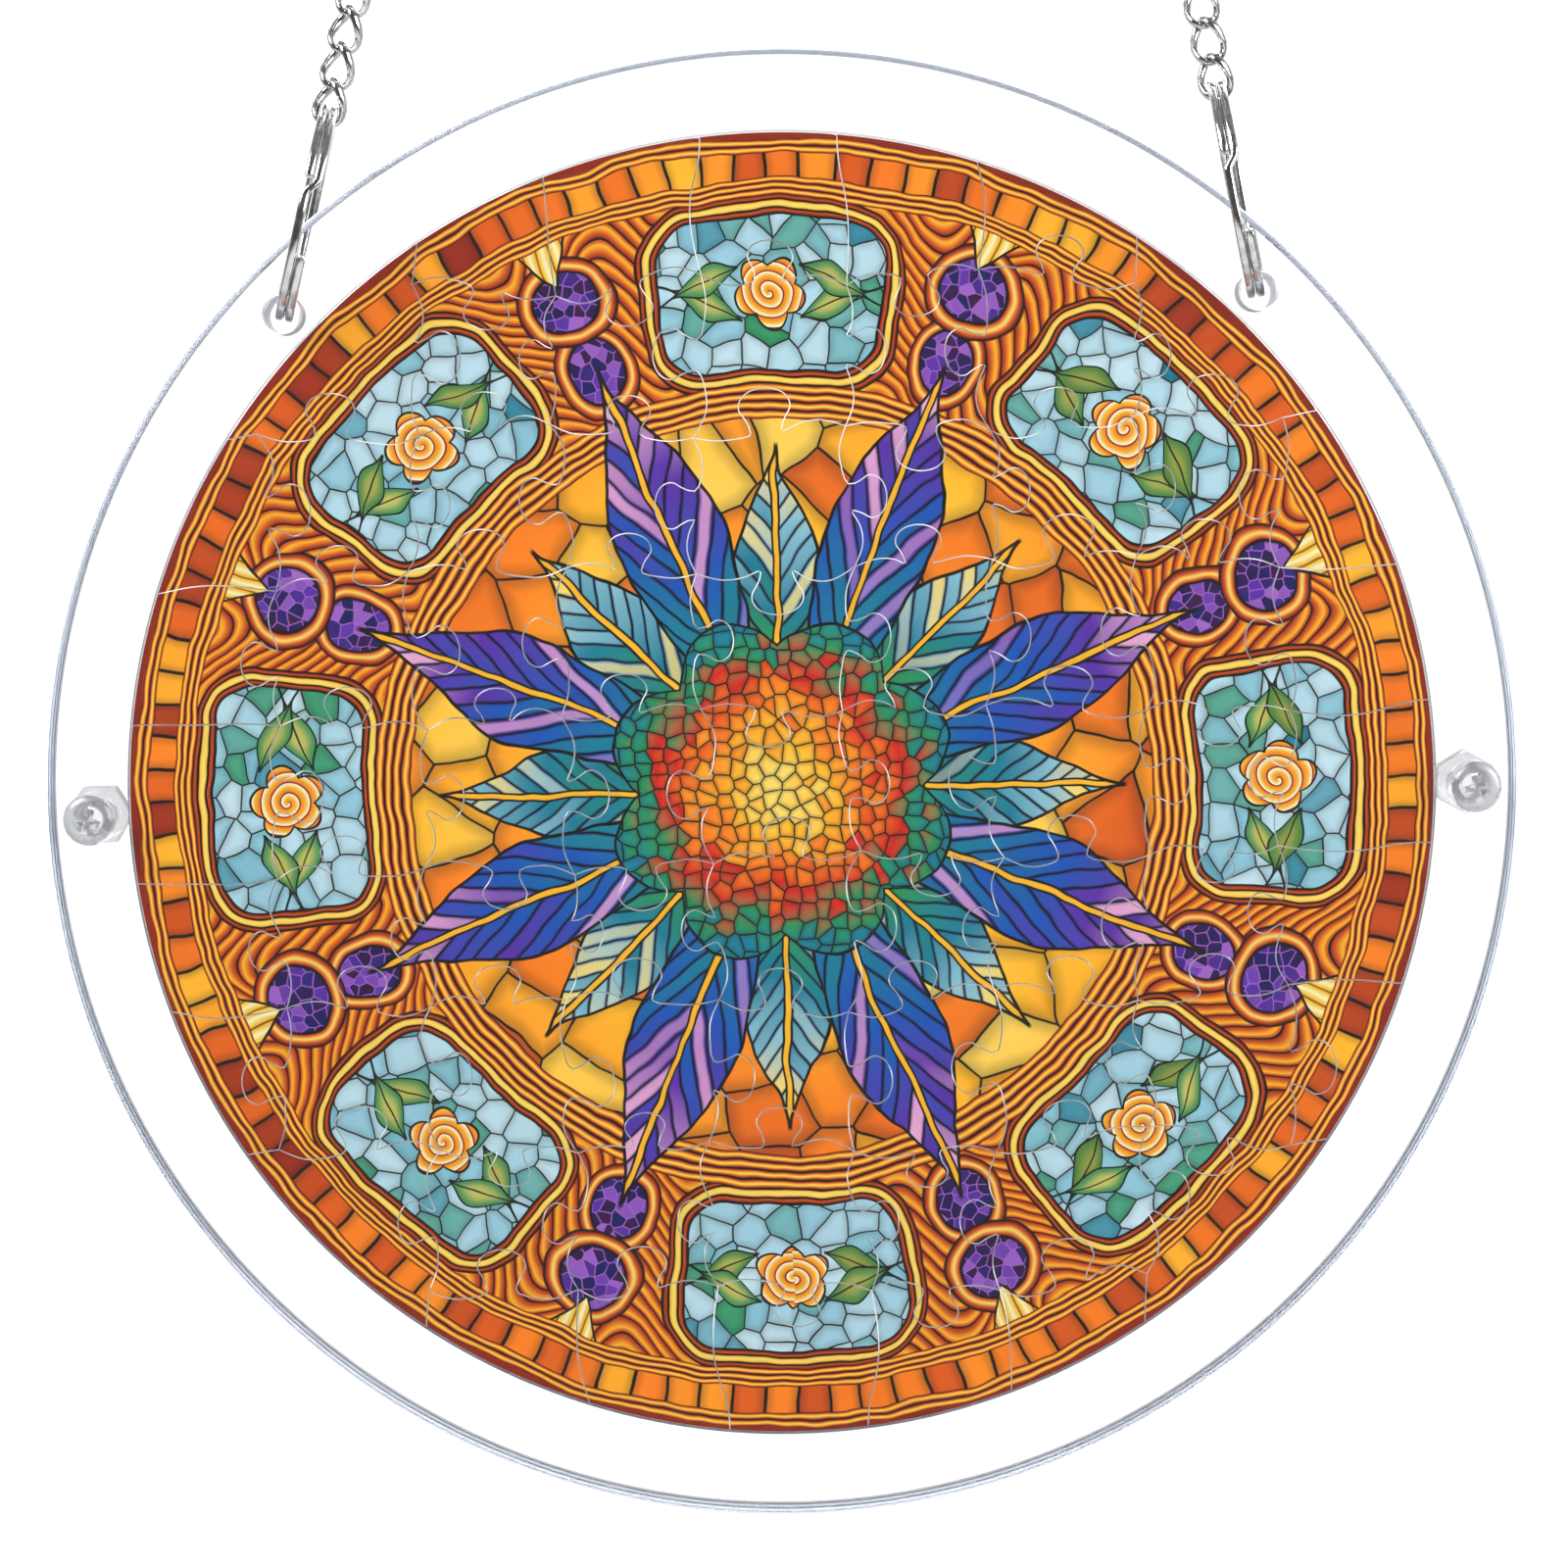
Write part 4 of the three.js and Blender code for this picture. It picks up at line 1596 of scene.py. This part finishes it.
@dataclass(frozen=True)
class HangingRing:
    """The ring that both chains meet in.

    Attributes:
        wire_radius: Radius of its wire.
        sides: Steps round the ring.
        section: Steps round the wire.
    """

    wire_radius: float = 0.75
    sides: int = 96
    section: int = 14

    def build(self, nickel: Material) -> None:
        """Make the ring in its finish: a circle of wire carried round the ring's centre.

        Args:
            nickel: The finish.
        """
        angle = np.arange(self.section) / self.section * TURN
        wire = self.wire_radius * np.stack((np.cos(angle), np.sin(angle)), axis=-1)
        profile = wire + (LAYOUT.hanging_reach + self.wire_radius, 0.0)
        points = revolve(profile, self.sides) - np.array((0.0, 0.0, LAYOUT.hanging_reach))
        mesh = mesh_of("hanging_ring", points, grid_faces(self.section, self.sides, close_rows=True))
        finish_piece("plated_hanging_ring", "hanging_ring", mesh, (nickel,), 80.0)


# Studio


@dataclass(frozen=True)
class Studio:
    """Camera, lights, world and a plain pale floor.

    Attributes:
        distance: Camera to the disc's front face.
        height: Camera above the disc's centre.
        aside: Camera to the right of the disc's centre.
        tilt: Degrees that the camera looks down.
        roll: Degrees that the camera is rolled.
        lens: Focal length.
        rise: Vertical shift of the lens.
        floor: Height of the floor.
        floor_rings: Radii of the floor's rings of points, in metres.
        pale: Strength of the world behind the object.
        side: Strength of the world beside it.
        dim: Strength of the world behind the camera.
        lamps: Place, size and power of each lamp, in metres and watts.
    """

    distance: float = 520.0
    height: float = 42.0
    aside: float = 0.24
    tilt: float = 3.82
    roll: float = 0.44
    lens: float = 88.12
    rise: float = -0.03
    floor: float = -900.0
    floor_rings: tuple[float, ...] = (0.0, 0.4, 0.7, 0.95)
    pale: float = 1.3
    side: float = 0.42
    dim: float = 0.15
    lamps: tuple[tuple[str, tuple[float, float, float], float, float], ...] = (
        ("key", (-0.75, -0.55, 0.35), 0.7, 32.0),
        ("fill", (0.85, -0.45, -0.1), 0.8, 21.0),
        ("rear", (0.1, 0.7, 0.25), 0.8, 4.0),
    )

    def camera(self) -> None:
        """Put the camera where the photographer stood."""
        data = bpy.data.cameras.new("camera")
        data.lens, data.sensor_width, data.shift_y = self.lens, 36.0, self.rise
        data.clip_start, data.clip_end = 0.01, 20.0
        camera = link("camera", data)
        middle = LAYOUT.disc().translation
        at = Vector((self.aside, -1.5 * LAYOUT.sheet - self.distance, middle.z + self.height)) * MM
        down = Matrix.Rotation(math.radians(90.0 - self.tilt), 4, "X")
        roll = Matrix.Rotation(math.radians(self.roll), 4, "Z")
        camera.matrix_world = Matrix.Translation(at) @ down @ roll
        bpy.context.scene.camera = camera

    def light(self) -> None:
        """Hang square soft lights aimed at the disc."""
        for name, at, size, power in self.lamps:
            data = bpy.data.lights.new(name, "AREA")
            data.size, data.energy = size, power
            aim = LAYOUT.disc().translation * MM - Vector(at)
            turn = aim.to_track_quat("-Z", "Y").to_matrix().to_4x4()
            link(name, data).matrix_world = Matrix.Translation(at) @ turn

    def world(self, free: float = 9.0) -> None:
        """A world that is white behind the object and dimmer behind the camera.

        Args:
            free: More than any strength, so that the dimming ends where Y turns positive.
        """
        world = bpy.data.worlds.new("studio")
        world.use_nodes = True
        p = Pattern(world.node_tree)
        _, ahead, _ = p.apart(p.at("Generated"))
        dimmed = p.spread(ahead, -0.85, -0.1, self.dim, self.side) + ahead.over(0.0) * free
        strength = p.spread(ahead, 0.35, 0.75, self.side, self.pale).least(dimmed)
        p.fill(world.node_tree.nodes["Background"], {"Color": (1.0, 1.0, 1.0, 1.0), "Strength": strength})
        bpy.context.scene.world = world

    def ground(self, sides: int = 64) -> None:
        """A round pale floor that fades into the world at its rim.

        Args:
            sides: Steps round it.
        """
        angles = np.arange(sides) / sides * TURN
        circle = np.stack((np.cos(angles), np.sin(angles), np.zeros(sides)), axis=-1) / MM
        points = np.concatenate([circle * radius for radius in self.floor_rings]) + (0.0, 0.0, self.floor)
        mesh = mesh_of("floor", points, grid_faces(len(self.floor_rings), sides))
        material, p, shader = new_material("pale_floor", (0.95, 0.95, 0.95))
        at = p.at()
        x, y, _ = p.apart(at)
        greys = (0.58, 0.58, 0.59, 1.0), (0.62, 0.62, 0.625, 1.0)
        values = {
            "Base Color": p.paint(*greys, p.noise(at, 35.0, 3.0)),
            "Roughness": 0.8,
            "Specular IOR Level": 0.1,
            "Alpha": p.spread(hypotenuse(x, y), 0.5, self.floor_rings[-1], 1.0, 0.0),
        }
        p.fill(shader, values)
        mesh.materials.append(material)
        link("floor", mesh)

    def build(self) -> None:
        """Set up the whole studio."""
        self.camera()
        self.world()
        self.ground()
        self.light()
        view = bpy.context.scene.view_settings
        view.view_transform, view.look = "Standard", "None"


def main() -> None:
    """Build the studio and every sub-assembly in order."""
    logging.basicConfig(level=logging.INFO, format="%(name)s: %(message)s")
    Studio().build()
    nickel, nylon = NICKEL.make(), NYLON.make()
    Disc().build()
    Jigsaw().build()
    Fixing("left", 20.0, 0.0).build(nylon)
    Fixing("right", -10.0, 30.0).build(nylon)
    Suspension("left", 57, -30.0).build(nickel)
    Suspension("right", 56, -27.0).build(nickel)
    HangingRing().build(nickel)


if __name__ == "__main__":
    main()
